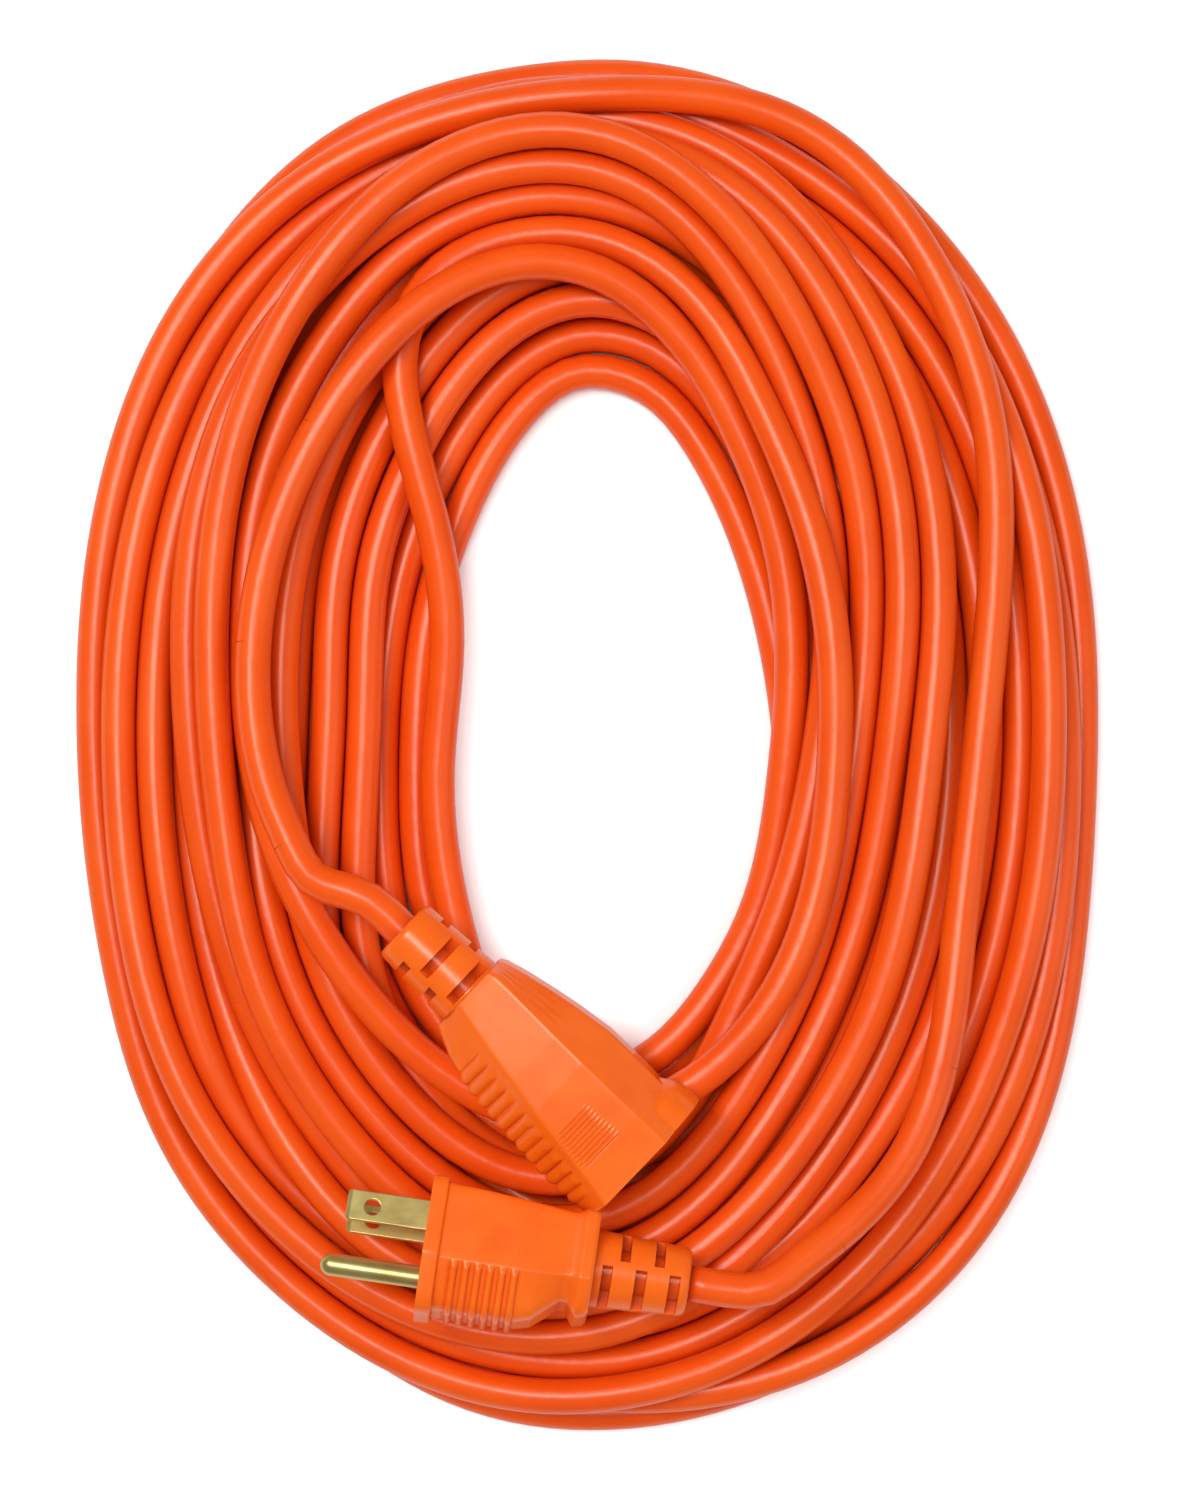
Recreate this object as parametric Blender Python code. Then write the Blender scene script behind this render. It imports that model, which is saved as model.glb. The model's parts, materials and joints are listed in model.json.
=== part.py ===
"""Orange outdoor extension cord, 50 ft of three-conductor 16 AWG cord laid as a flat oval hank.

World frame: metres, +Z up, floor at z = 0, +Y along the long side of the hank.
Every length below is in millimetres and is scaled by MM where a mesh or an object is made.
"""

import math

import bmesh
import bpy
import numpy as np
from mathutils import Matrix, Vector

MM = 0.001
GAP = 0.3  # clearance between neighbouring pieces

# --- cord -------------------------------------------------------------------
CORD_D = 7.8
CORD_R = CORD_D / 2
CORD_SIDES, TAIL_SIDES, WIRE_SIDES = 8, 12, 8
STEP = 8.0  # spacing of the points that are laid and packed
ROUNDS = 900  # of packing
LOWERING = 0.40  # how far each round of packing lowers the turns
LOWERED_BY = 0.65  # share of the rounds after which the turns are held less to their plan
HELD, HELD_LATER = 0.05, 0.013  # share of its shift from the plan that a turn gives up each round
COIL_SAG = 0.62  # most that a straight side of the jacket leaves its curve
OVAL_A, OVAL_B = 109.0, 144.0  # half sides of the hank's outline

# One row per turn, from the connector's end to the plug's end: distance from the hank's
# middle, in per cent of the outline oval, at eight headings clockwise from the south-west,
# then the order in which the turn is laid (0 is on the floor).
HEADINGS = (225, 180, 135, 90, 45, 0, -45, -90)
TURNS = (
    ((44.5, 64.5, 72.5, 75.2, 54.1, 43.3, 46, 54), 24),
    ((46, 43, 49.8, 68.4, 52.8, 48.5, 50, 58), 0),
    ((53, 45, 53.7, 70.4, 56.4, 52.8, 56, 64), 1),
    ((59, 52, 60.4, 73.6, 63.6, 58.9, 63, 72), 2),
    ((67, 57, 67.2, 78.5, 72.6, 66.7, 73, 80), 3),
    ((76, 67, 75.9, 84.9, 82.4, 77.9, 86, 90), 4),
    ((86, 78, 87.4, 92.2, 92.3, 90.1, 103.5, 97), 5),
    ((93, 87, 95.2, 96.2, 96.8, 95.7, 106, 97), 6),
    ((89, 82, 90.3, 93.8, 94.1, 94.4, 101, 92), 7),
    ((83, 73, 82.6, 88.9, 86, 83.1, 91, 86), 8),
    ((77, 62, 72, 81.7, 77, 71, 77, 78), 9),
    ((69, 53, 62.3, 74.4, 67.2, 62.3, 66, 68), 10),
    ((59, 46, 56.6, 71.2, 60, 54.5, 57, 56), 11),
    ((37.5, 30.7, 43.5, 81.7, 59.1, 50.2, 54, 56), 18),
    ((57.5, 66, 79.7, 86.1, 76.1, 64.1, 68, 80), 15),
    ((82.5, 81, 90.3, 88.9, 63.6, 48, 48.2, 65), 17),
    ((64.5, 62, 71, 82.5, 86.9, 84, 84, 90), 12),
    ((89, 86.6, 92.8, 94.2, 78.8, 60.8, 63.3, 78), 16),
    ((75, 73.5, 88.2, 93.5, 72.6, 54.5, 55.5, 72), 21),
    ((69.5, 68, 77.8, 87.3, 81.5, 74, 77, 88), 13),
    ((93.5, 90.5, 96.4, 96.2, 83.8, 67.3, 71, 83), 19),
    ((87, 84, 91.3, 94.6, 94.1, 87.5, 90, 93), 14),
    ((93, 89, 94.2, 96.2, 96.8, 91.5, 95.7, 97.3), 15),
    ((98.7, 95.6, 101, 96.2, 100.2, 78.8, 87.7, 80), 20),
)
HANGING_TURN = 13
PLUG_TURN = 23
TAIL_LEVELS = (24, 24, 24, 23, 21, 14, 4, 0)
# Extra stations, as (heading, per cent), where a turn bends more sharply than its row says.
HANGING_BEND = ((118, 77.5), (125, 66), (130, 51), (150, 33.3), (108, 80.3), (163, 31))
PLUG_BEND = ((195, 96.5), (210, 99), (60, 103.3), (30, 94), (15, 84.5), (-15, 78.5), (-60, 86.5))

# --- fittings ---------------------------------------------------------------
# Middle of the front face and of the cord's exit, measured from the hank's middle.
PLUG_FACE, PLUG_EXIT = (-34.3, -104.8), (24.6, -113.5)
CONNECTOR_FACE, CONNECTOR_EXIT = (12.0, -86.2), (-39.0, -38.0)
PLUG_ROLL, CONNECTOR_ROLL = 21.5, 4.0
PLUG_BODY, PLUG_RELIEF = 36.0, 20.5
CONNECTOR_BODY, CONNECTOR_RELIEF = 51.0, 19.5
BLADE_LINE, GROUND_LINE = -4.6, 7.3  # from the cord's axis, towards the ground pin
BLADE_APART = 12.7
BLADE_THICK, BLADE_OUT = 1.5, 17.5
BLADE_TALL, NEUTRAL_SLOT_TALL = 6.35, 7.9
PIN_D, PIN_OUT = 4.75, 21.4
WIRE_D, COPPER_D, WIRE_RING = 2.6, 1.5, 2.0

# --- the free ends, as hinged lengths ---------------------------------------
HINGE_AT = (98.0, 53.0, 8.0)  # along the cord from its exit

VINYL = (0.90, 0.13, 0.015, 1.0)
MOULDED = (0.95, 0.22, 0.04, 1.0)
BRASS = (0.80, 0.62, 0.28, 1.0)
COPPER = (0.85, 0.42, 0.26, 1.0)
BLACK, WHITE, GREEN = (0.03, 0.03, 0.03, 1.0), (0.85, 0.85, 0.82, 1.0), (0.05, 0.35, 0.10, 1.0)
IVORY = (0.80, 0.76, 0.66, 1.0)


# --- the laid cord ----------------------------------------------------------
def stations():
    """(degrees travelled clockwise from the south-west, per cent, laying order) of the cord."""
    rows = []
    for turn, (row, level) in enumerate(TURNS):
        for spot, (heading, percent) in enumerate(zip(HEADINGS, row)):
            order = TAIL_LEVELS[spot] if turn == 0 else level
            rows.append((225 - heading + 360 * turn, percent, order))
    for turn, bend in ((HANGING_TURN, HANGING_BEND), (PLUG_TURN, PLUG_BEND)):
        level = TURNS[turn][1]
        for heading, percent in bend:
            rows.append((225 - heading + 360 * turn, percent, level))
    hanging_north = 225 - 90 + 360 * HANGING_TURN
    rows = [row for row in rows if row[0] != hanging_north or row[2] != TURNS[HANGING_TURN][1]]
    return np.array(sorted(rows), float)


def smooth_through(x, xs, ys):
    """A curve through (xs, ys) with continuous slope, read at x."""
    gaps = np.diff(xs)
    rises = np.diff(ys) / gaps
    slopes = np.empty(len(xs))
    slopes[1:-1] = (rises[:-1] * gaps[1:] + rises[1:] * gaps[:-1]) / (gaps[:-1] + gaps[1:])
    slopes[0], slopes[-1] = rises[0], rises[-1]
    i = np.clip(np.searchsorted(xs, x) - 1, 0, len(gaps) - 1)
    t = (x - xs[i]) / gaps[i]
    value = (1 + 2 * t) * (1 - t) ** 2 * ys[i] + t * t * (3 - 2 * t) * ys[i + 1]
    return value + t * (1 - t) * gaps[i] * ((1 - t) * slopes[i] - t * slopes[i + 1])


def arc_length(points):
    steps = points[1:] - points[:-1]
    return np.concatenate([[0.0], np.cumsum(np.sqrt((steps * steps).sum(axis=1)))])


def resampled(points, extra, spacing):
    """Points and a second value along them, at an even spacing."""
    along = arc_length(points)
    count = int(round(along[-1] / spacing)) + 1
    at = np.linspace(0.0, along[-1], count)
    columns = [np.interp(at, along, points[:, k]) for k in range(points.shape[1])]
    return np.stack(columns, axis=1), np.interp(at, along, extra)


def straight_exit(face, exit_point):
    """Plan points of the straight cord that leaves a fitting."""
    out = np.subtract(exit_point, face)
    out /= math.sqrt(out[0] ** 2 + out[1] ** 2)
    return np.array([np.add(exit_point, out * reach) for reach in (0.0, 5.0, 9.0, 13.0)])


def laid_cord():
    """Plan position, laying order and piece (0 connector, 1 cord, 2 plug) of each point."""
    rows = stations()
    first = 225 - 217
    last = 225 + 75 + 360 * (len(TURNS) - 1)
    travelled = np.linspace(first, last, 24000)
    share = smooth_through(travelled, rows[:, 0], rows[:, 1]) / 100
    heading = np.radians(225 - travelled)
    plan = np.stack([share * OVAL_A * np.cos(heading), share * OVAL_B * np.sin(heading)], axis=1)
    order = np.interp(travelled, rows[:, 0], rows[:, 2])
    keep = slice(44, -44)
    plan = np.concatenate([straight_exit(CONNECTOR_FACE, CONNECTOR_EXIT), plan[keep],
                           straight_exit(PLUG_FACE, PLUG_EXIT)[::-1]])
    order = np.concatenate([[24.0] * 4, order[keep], [20.0] * 4])
    plan, order = resampled(plan, order, STEP)
    front = np.linspace(CONNECTOR_FACE, CONNECTOR_EXIT, 10)[:-1]
    back = np.linspace(PLUG_EXIT, PLUG_FACE, 9)[1:]
    piece = np.concatenate([np.zeros(len(front)), np.ones(len(plan)), np.full(len(back), 2.0)])
    order = np.concatenate([np.full(len(front), 25.0), order, np.full(len(back), 22.0)])
    return np.concatenate([front, plan, back]), order, piece


def near_pairs(points, reach):
    """Index pairs of points closer than reach that aren't neighbours along the cord."""
    x, y, z = points[:, 0], points[:, 1], points[:, 2]
    squared = (x[:, None] - x) ** 2 + (y[:, None] - y) ** 2 + (z[:, None] - z) ** 2
    first, second = np.nonzero(np.triu(squared < reach * reach, 4))
    return first, second


def closest_vectors(points, heads, first, second, half):
    """From each second short straight length to its first, the vector at their closest."""
    apart = points[first] - points[second]
    u, v = heads[first], heads[second]
    uv = (u * v).sum(axis=1)
    along_u, along_v = (u * apart).sum(axis=1), (v * apart).sum(axis=1)
    s = np.clip((uv * along_v - along_u) / (1.02 - uv * uv), -half, half)
    t = np.clip(uv * s + along_v, -half, half)
    s = np.clip(uv * t - along_u, -half, half)
    return apart + u * s[:, None] - v * t[:, None]


def heads_of(points):
    heads = np.empty_like(points)
    heads[1:-1] = points[2:] - points[:-2]
    heads[0], heads[-1] = points[1] - points[0], points[-1] - points[-2]
    return heads / np.sqrt((heads * heads).sum(axis=1))[:, None]


def spread_apart(points, radius, piece, rounds):
    """Lowers the laid turns on to each other and holds them a cord's thickness apart."""
    plan = points[:, :2].copy()
    cord = piece == 1
    for turn in range(rounds):
        if turn % 6 == 0:
            first, second = near_pairs(points, 2 * CORD_D + 4.0)
            if turn == 0:
                wide = np.nonzero(~cord)[0]
        heads = heads_of(points)
        points[:, 2] -= LOWERING * min(1.0, max(0.0, (0.85 - turn / rounds) / 0.25))
        pairs = [(first, second)]
        for i in wide:
            others = np.nonzero(cord & (np.abs(np.arange(len(points)) - i) > 6))[0]
            close = others[((points[others] - points[i]) ** 2).sum(axis=1) < 26.0 ** 2]
            pairs.append((np.full(len(close), i), close))
        a = np.concatenate([p[0] for p in pairs])
        b = np.concatenate([p[1] for p in pairs])
        away = closest_vectors(points, heads, a, b, 0.55 * STEP)
        distance = np.sqrt((away * away).sum(axis=1)) + 1e-9
        overlap = np.clip(radius[a] + radius[b] - distance, 0.0, None)
        push = away / distance[:, None] * (overlap * 0.5)[:, None]
        shift = np.zeros_like(points)
        hits = np.bincount(a, overlap > 0, len(points)) + np.bincount(b, overlap > 0, len(points))
        for k in range(3):
            shift[:, k] = np.bincount(a, push[:, k], len(points)) - np.bincount(b, push[:, k], len(points))
        points += shift / np.maximum(1.0, 0.45 * hits)[:, None] * 0.9
        ease_bends(points, plan, HELD if turn < LOWERED_BY * rounds else HELD_LATER)
        level_fittings(points, plan, piece)
        points[:, 2] = np.maximum(points[:, 2], radius * np.where(cord, 1.0, 0.9))
    return points


def ease_bends(points, plan, held):
    """Stiffness: evens out the height and the shift from the plan, and draws back to the plan."""
    moved = points.copy()
    moved[:, :2] -= plan
    for _ in range(2):
        middle = 0.5 * (moved[2:] + moved[:-2])
        moved[1:-1] += (middle - moved[1:-1]) * 0.25
    moved[:, :2] *= 1.0 - held
    points[:] = moved
    points[:, :2] += plan


def level_fittings(points, plan, piece):
    """Keeps the plug and the connector straight and level, with the cord leaving them level."""
    for which in (0, 2):
        mine = np.nonzero(piece == which)[0]
        first, last = (mine[0], mine[-1] + 4) if which == 0 else (mine[0] - 3, mine[-1] + 1)
        reach = np.arange(first, last)
        points[reach, :2] = plan[reach]
        points[reach, 2] = points[mine, 2].max() * 0.5 + points[mine, 2].mean() * 0.5


def packed_cord():
    """Centre line of the cord and the resting heights of the connector and the plug."""
    plan, order, piece = laid_cord()
    radius = np.full(len(plan), CORD_R + 0.05)
    radius[piece == 0] = 14.2
    radius[piece == 2] = 14.8
    radius[:3] = 14.9
    radius[-3:] = 16.4
    tail = int(HINGE_AT[0] / STEP) + 2
    cord = np.nonzero(piece == 1)[0]
    radius[cord[:tail]] = radius[cord[-tail:]] = CORD_R + 0.5
    height = CORD_R + order * 8.4
    points = np.concatenate([plan, height[:, None]], axis=1)
    points = spread_apart(points, radius, piece, ROUNDS)
    return points, piece


# --- MODEL: meshes ----------------------------------------------------------
def collection_named(name, hidden):
    collection = bpy.data.collections.new(name)
    bpy.context.scene.collection.children.link(collection)
    collection.hide_render = hidden
    return collection


def plain_material(name, color, roughness=0.45, metallic=0.0):
    material = bpy.data.materials.new(name)
    material.use_nodes = True
    shader = material.node_tree.nodes["Principled BSDF"]
    shader.inputs["Base Color"].default_value = color
    shader.inputs["Roughness"].default_value = roughness
    shader.inputs["Metallic"].default_value = metallic
    material.diffuse_color = color
    return material


def object_of(name, mesh_data, collection, color, metallic=0.0):
    mesh = bpy.data.meshes.new(name)
    mesh_data.to_mesh(mesh)
    mesh_data.free()
    mesh.materials.append(plain_material(name + "_material", color, metallic=metallic))
    for polygon in mesh.polygons:
        polygon.use_smooth = True
    obj = bpy.data.objects.new(name, mesh)
    collection.objects.link(obj)
    return obj


def lofted(rings):
    """Closed skin through rings of the same number of points, with flat ends."""
    mesh = bmesh.new()
    loops = [[mesh.verts.new([c * MM for c in point]) for point in ring] for ring in rings]
    for near, far in zip(loops, loops[1:]):
        for i in range(len(near)):
            j = (i + 1) % len(near)
            mesh.faces.new((near[i], near[j], far[j], far[i]))
    mesh.faces.new(list(reversed(loops[0])))
    mesh.faces.new(loops[-1])
    bmesh.ops.recalc_face_normals(mesh, faces=mesh.faces)
    return mesh


def tube(path, radii, sides, twist="Z_UP"):
    """Round bar along a path, with flats below and above so that lengths rest on flats."""
    curve = bpy.data.curves.new("path", "CURVE")
    curve.dimensions = "3D"
    curve.twist_mode = twist
    curve.bevel_depth = MM
    curve.bevel_resolution = sides // 2 - 2
    curve.use_fill_caps = True
    spline = curve.splines.new("POLY")
    spline.points.add(len(path) - 1)
    same_area = 1.0 / math.sqrt(math.sin(2 * math.pi / sides) * sides / (2 * math.pi))
    for point, place, radius in zip(spline.points, path, radii):
        point.co = (*(c * MM for c in place), 1.0)
        point.radius = radius * same_area
        point.tilt = math.pi / sides
    guide = bpy.data.objects.new("path", curve)
    skin = bpy.data.meshes.new_from_object(guide)
    mesh = bmesh.new()
    mesh.from_mesh(skin)
    bmesh.ops.remove_doubles(mesh, verts=mesh.verts, dist=1e-7)
    bmesh.ops.recalc_face_normals(mesh, faces=mesh.faces)
    bpy.data.objects.remove(guide)
    bpy.data.curves.remove(curve)
    bpy.data.meshes.remove(skin)
    return mesh


def read_at(cord, along, at):
    return np.stack([smooth_through(at, along, cord[:, k]) for k in range(3)], axis=1)


def ring_places(cord, along, start, end):
    """Places along the cord, closer together where it bends more."""
    heads = heads_of(cord)
    turning = np.sqrt(((heads[1:] - heads[:-1]) ** 2).sum(axis=1)) / np.diff(along)
    turning = np.convolve(turning, np.ones(5) / 5, mode="same")
    spacing = np.clip(np.sqrt(8 * COIL_SAG / np.maximum(turning, 1e-4)), 17.0, 30.0)
    places = [start]
    while places[-1] < end:
        places.append(places[-1] + float(np.interp(places[-1], along[1:], spacing)))
    scale = (end - start) / (places[-1] - start)
    return start + (np.array(places) - start) * scale


def ball_end(cord, along, pivot, end, spacing, ball_at_start):
    """Path and radii of a hinged length whose hinged end is a ball round the pivot."""
    angles = np.radians((8.0, 30.0, 60.0, 90.0))
    sign = -1.0 if ball_at_start else 1.0
    ball = pivot + sign * CORD_R * np.cos(angles)
    count = max(2, int(round(abs(end - pivot) / spacing)))
    straight = np.linspace(pivot, end, count + 1)[1:]
    at = np.concatenate([ball, straight])
    radii = np.concatenate([CORD_R * np.sin(angles), np.full(count, CORD_R)])
    return read_at(cord, along, at), radii


# --- MODEL: shapes of the fittings, in their own axes ----------------------
# x runs from blade to blade, y towards the ground pin, z out of the front face.
def d_section(half, low, middle, high, corner, steps=5):
    """Flat on the blades' side (y = low), straight flanks, rounded towards y = high."""
    points = []
    for k in range(3):
        turn = math.radians(-90 + 45 * k)
        points.append((half - corner + corner * math.cos(turn), low + corner + corner * math.sin(turn)))
    for k in range(steps + 1):
        turn = math.radians(90.0 * k / steps)
        points.append((half * math.cos(turn) ** 0.8 if k < steps else 0.0, middle + (high - middle) * math.sin(turn)))
    return points + [(-x, y) for x, y in reversed(points[:-1])]


def prism(sections):
    """Loft of (z, outline) pairs."""
    return lofted([[(x, y, z) for x, y in outline] for z, outline in sections])


def box(x0, x1, y0, y1, z0, z1):
    mesh = bmesh.new()
    size = Vector((x1 - x0, y1 - y0, z1 - z0)) * MM
    middle = Vector((x0 + x1, y0 + y1, z0 + z1)) * MM / 2
    bmesh.ops.create_cube(mesh, size=1.0, matrix=Matrix.Translation(middle) @ Matrix.Diagonal((*size, 1.0)))
    return mesh


def block(clearance, z0, z1):
    """Block with two corners cut off towards the ground pin: an insert, or the pocket for it."""
    c = clearance
    outline = ((-9.3 - c, -9.1 - c), (9.3 + c, -9.1 - c), (9.3 + c, 2.5), (4.6 + c, 11.3 + c),
               (-4.6 - c, 11.3 + c), (-9.3 - c, 2.5))
    return prism([(z0, outline), (z1, outline)])


def rod(profile, x=0.0, y=0.0, sides=16):
    """Turned shape on a line along z at (x, y), from (z, radius) pairs."""
    mesh = bmesh.new()
    low, high = min(profile), max(profile)
    closed = [(low[0], 0.0)] + sorted(profile) + [(high[0], 0.0)]
    corners = [mesh.verts.new((x * MM + radius * MM, y * MM, z * MM)) for z, radius in closed]
    edges = [mesh.edges.new(pair) for pair in zip(corners, corners[1:])]
    axis = {"cent": (x * MM, y * MM, 0.0), "axis": (0.0, 0.0, 1.0)}
    bmesh.ops.spin(mesh, geom=corners + edges, angle=2 * math.pi, steps=sides, use_merge=True, **axis)
    bmesh.ops.remove_doubles(mesh, verts=mesh.verts, dist=1e-7)
    bmesh.ops.recalc_face_normals(mesh, faces=mesh.faces)
    return mesh


def boolean(obj, other, operation):
    bpy.context.view_layer.update()
    modifier = obj.modifiers.new(operation.title(), "BOOLEAN")
    modifier.operation = operation
    modifier.object = other
    graph = bpy.context.evaluated_depsgraph_get()
    mesh = bpy.data.meshes.new_from_object(obj.evaluated_get(graph))
    obj.modifiers.clear()
    obj.data = mesh
    bpy.data.objects.remove(other)


class Shop:
    """Makes the pieces of one fitting and puts them in place together."""

    def __init__(self, collection, helpers, place):
        self.collection = collection
        self.helpers = helpers
        self.place = place
        self.made = []

    def piece(self, name, mesh_data, color, metallic=0.0):
        obj = object_of(name, mesh_data, self.collection, color, metallic)
        self.made.append(obj)
        return obj

    def cut(self, obj, *cutters):
        for cutter in cutters:
            boolean(obj, object_of("cutter", cutter, self.helpers, IVORY), "DIFFERENCE")

    def join(self, obj, *others):
        for other in others:
            boolean(obj, object_of("addition", other, self.helpers, IVORY), "UNION")

    def settle(self):
        for obj in self.made:
            obj.data.transform(self.place)


def fitting_frame(face, exit_point, height, roll):
    """Matrix from a fitting's own axes, with the middle of its front face as origin."""
    out = Vector((face[0] - exit_point[0], face[1] - exit_point[1], 0.0)).normalized()
    up = Vector((0.0, 0.0, 1.0))
    turn = Matrix.Rotation(math.radians(roll), 3, out)
    across, ground = turn @ -up, turn @ up.cross(out)
    rows = Matrix((across, ground, out)).transposed().to_4x4()
    return Matrix.Translation(Vector((face[0], face[1], height)) * MM) @ rows


def relief_profile(start, length, thick, thin):
    """Turned outline of a strain relief behind a body: taper, groove, end ring."""
    return (
        (start, thick), (start - length + 5.5, thin + 0.3), (start - length + 5.2, thin - 0.4),
        (start - length + 4.6, thin - 0.4), (start - length + 4.3, thin + 0.3),
        (start - length + 0.8, thin), (start - length, thin - 0.8),
    )


def relief_slots(start, pitch, rows):
    """Cutters for the staggered slots; each row is (number, first, x side, y side)."""
    slots = []
    for count, first, x_side, y_side in rows:
        for k in range(count):
            z = start - first - pitch * k
            x = (5.2, 12.0) if x_side > 0 else (-12.0, -5.2) if x_side < 0 else (-4.6, 4.6)
            y = (5.2, 12.0) if y_side > 0 else (-12.0, -5.2) if y_side < 0 else (-4.6, 4.6)
            slots.append(box(x[0], x[1], y[0], y[1], z - 2.0, z))
    return slots


WIRES = (
    ("hot", BLACK, (BLADE_APART / 2, BLADE_LINE), 210.0),
    ("neutral", WHITE, (-BLADE_APART / 2, BLADE_LINE), 330.0),
    ("ground", GREEN, (0.0, GROUND_LINE), 90.0),
)


def wire_path(target, angle, jacket_end, into, barrel_end):
    """From inside the jacket's bore to the mouth of a crimp barrel, in the fitting's axes."""
    turn = math.radians(angle)
    near = (WIRE_RING * math.cos(turn) * -1, WIRE_RING * math.sin(turn))
    run = barrel_end - jacket_end
    spots = [(0.0, -into), (0.0, -2.0), (0.0, 1.0), (0.18, run * 0.3), (0.5, run * 0.5), (0.82, run * 0.7),
             (1.0, run - 1.0), (1.0, run)]
    return [
        (near[0] + (target[0] - near[0]) * share, near[1] + (target[1] - near[1]) * share, jacket_end + z)
        for share, z in spots
    ]


def wire(path, radius):
    return tube(path, [radius] * len(path), WIRE_SIDES, "MINIMUM")


def make_wires(shop, prefix, jacket_end, barrel_end, hot_side):
    """Insulation and bare copper of the three conductors in a fitting."""
    for name, color, (x, y), angle in WIRES:
        target = (x * hot_side, y)
        path = wire_path(target, angle if hot_side > 0 else 180.0 - angle, jacket_end, 12.0, barrel_end)
        cover = shop.piece(f"{prefix}_{name}_insulation", wire(path[:-1], WIRE_D / 2), color)
        longer = [(path[0][0], path[0][1], path[0][2] - 1.0)] + path[:-1]
        longer.append((path[-1][0], path[-1][1], path[-1][2] + 1.0))
        shop.cut(cover, wire(longer, COPPER_D / 2 + 0.2))
        tip = (target[0], target[1], path[-1][2] + 3.2)
        copper = path[:-1] + [tip]
        shop.piece(f"{prefix}_{name}_copper", wire(copper, COPPER_D / 2), COPPER, 1.0)


def jacket_with_bores(shop, name, end):
    """The cord inside a fitting, from its hinge to the stripped end, bored for the wires."""
    pivot = shop.exit - HINGE_AT[2]
    ball = [(pivot - CORD_R * math.cos(math.radians(a)), CORD_R * math.sin(math.radians(a))) for a in (8, 30, 60, 90)]
    jacket = shop.piece(name, rod(ball + [(end, CORD_R)], sides=16), VINYL)
    for _, _, _, angle in WIRES:
        turn = math.radians(angle)
        x, y = -WIRE_RING * math.cos(turn), WIRE_RING * math.sin(turn)
        shop.cut(jacket, rod(((end - 12.6, 1.5), (end + 1.0, 1.5)), x, y, 12))
    return jacket


# --- MODEL: plug ------------------------------------------------------------
def make_plug(shop):
    body = shop.piece("plug_body", prism((
        (0.0, d_section(13.0, -12.2, 2.0, 15.6, 1.5)), (-3.5, d_section(13.2, -12.4, 2.0, 15.8, 1.5)),
        (-3.6, d_section(12.0, -11.3, 2.0, 14.6, 1.5)), (-20.0, d_section(11.4, -10.2, 2.0, 14.6, 1.5)),
        (-27.0, d_section(10.6, -9.6, 1.0, 11.6, 1.5)), (-30.0, d_section(9.8, -9.4, 1.0, 9.0, 1.5)),
        (-31.0, d_section(9.8, -9.4, 1.0, 9.2, 1.5)), (-33.0, d_section(10.8, -10.5, 1.0, 12.0, 1.5)),
        (-PLUG_BODY, d_section(10.4, -10.2, 1.0, 11.6, 1.5)),
    )), MOULDED)
    shop.join(body, rod(relief_profile(-PLUG_BODY + 1.0, PLUG_RELIEF + 1.0, 8.2, 7.0), sides=20))
    shop.cut(body, block(GAP, -22.0, 1.0))
    shop.cut(body, rod(((-24.2, 6.2), (-21.5, 9.4)), sides=16))
    shop.cut(body, rod(((-60.0, CORD_R + 0.6), (-23.0, CORD_R + 0.6)), sides=16))
    shop.cut(body, *relief_slots(-PLUG_BODY, 6.8, ((3, 1.6, 0, 1), (2, 5.0, 1, 0), (2, 5.0, -1, 0), (3, 1.6, 0, -1))))
    insert = shop.piece("plug_insert", block(0.0, -12.0, -0.2), MOULDED)
    for name, side, tall in (("hot", 1, BLADE_TALL), ("neutral", -1, BLADE_TALL)):
        x = side * BLADE_APART / 2
        shop.cut(insert, box(x - 1.05, x + 1.05, BLADE_LINE - tall / 2 - GAP, BLADE_LINE + tall / 2 + GAP, -13.0, 1.0))
        make_blade(shop, name, x, tall)
    shop.cut(insert, rod(((-13.0, PIN_D / 2 + GAP), (1.0, PIN_D / 2 + GAP)), 0.0, GROUND_LINE, 20))
    radius = PIN_D / 2
    pin = shop.piece("plug_ground_pin", rod((
        (-17.6, 1.55), (-12.6, 1.55), (-12.4, radius), (PIN_OUT - 2.2, radius), (PIN_OUT - 1.0, radius * 0.82),
        (PIN_OUT - 0.25, radius * 0.45), (PIN_OUT, radius * 0.18),
    ), 0.0, GROUND_LINE, 20), BRASS, 1.0)
    shop.cut(pin, rod(((-18.5, 1.05), (-14.0, 1.05)), 0.0, GROUND_LINE, 12))


def make_blade(shop, name, x, tall):
    half = BLADE_THICK / 2
    low, high = BLADE_LINE - tall / 2, BLADE_LINE + tall / 2
    tip = [(x - half + 0.45, low + 0.6), (x + half - 0.45, low + 0.6), (x + half - 0.45, high - 0.6), (x - half + 0.45, high - 0.6)]
    full = [(x - half, low), (x + half, low), (x + half, high), (x - half, high)]
    blade = shop.piece(f"plug_{name}_blade", prism(((-13.4, full), (BLADE_OUT - 1.4, full), (BLADE_OUT, tip))), BRASS, 1.0)
    shop.join(blade, rod(((-17.6, 1.55), (-12.3, 1.55)), x, BLADE_LINE, 12))
    hole = rod(((-3.0, 1.75), (3.0, 1.75)), sides=16)
    bmesh.ops.rotate(hole, verts=hole.verts, cent=(0, 0, 0), matrix=Matrix.Rotation(math.radians(90), 3, "Y"))
    bmesh.ops.translate(hole, verts=hole.verts, vec=Vector((x, BLADE_LINE, 12.0)) * MM)
    shop.cut(blade, hole, rod(((-18.5, 1.05), (-14.0, 1.05)), x, BLADE_LINE, 12))


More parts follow.
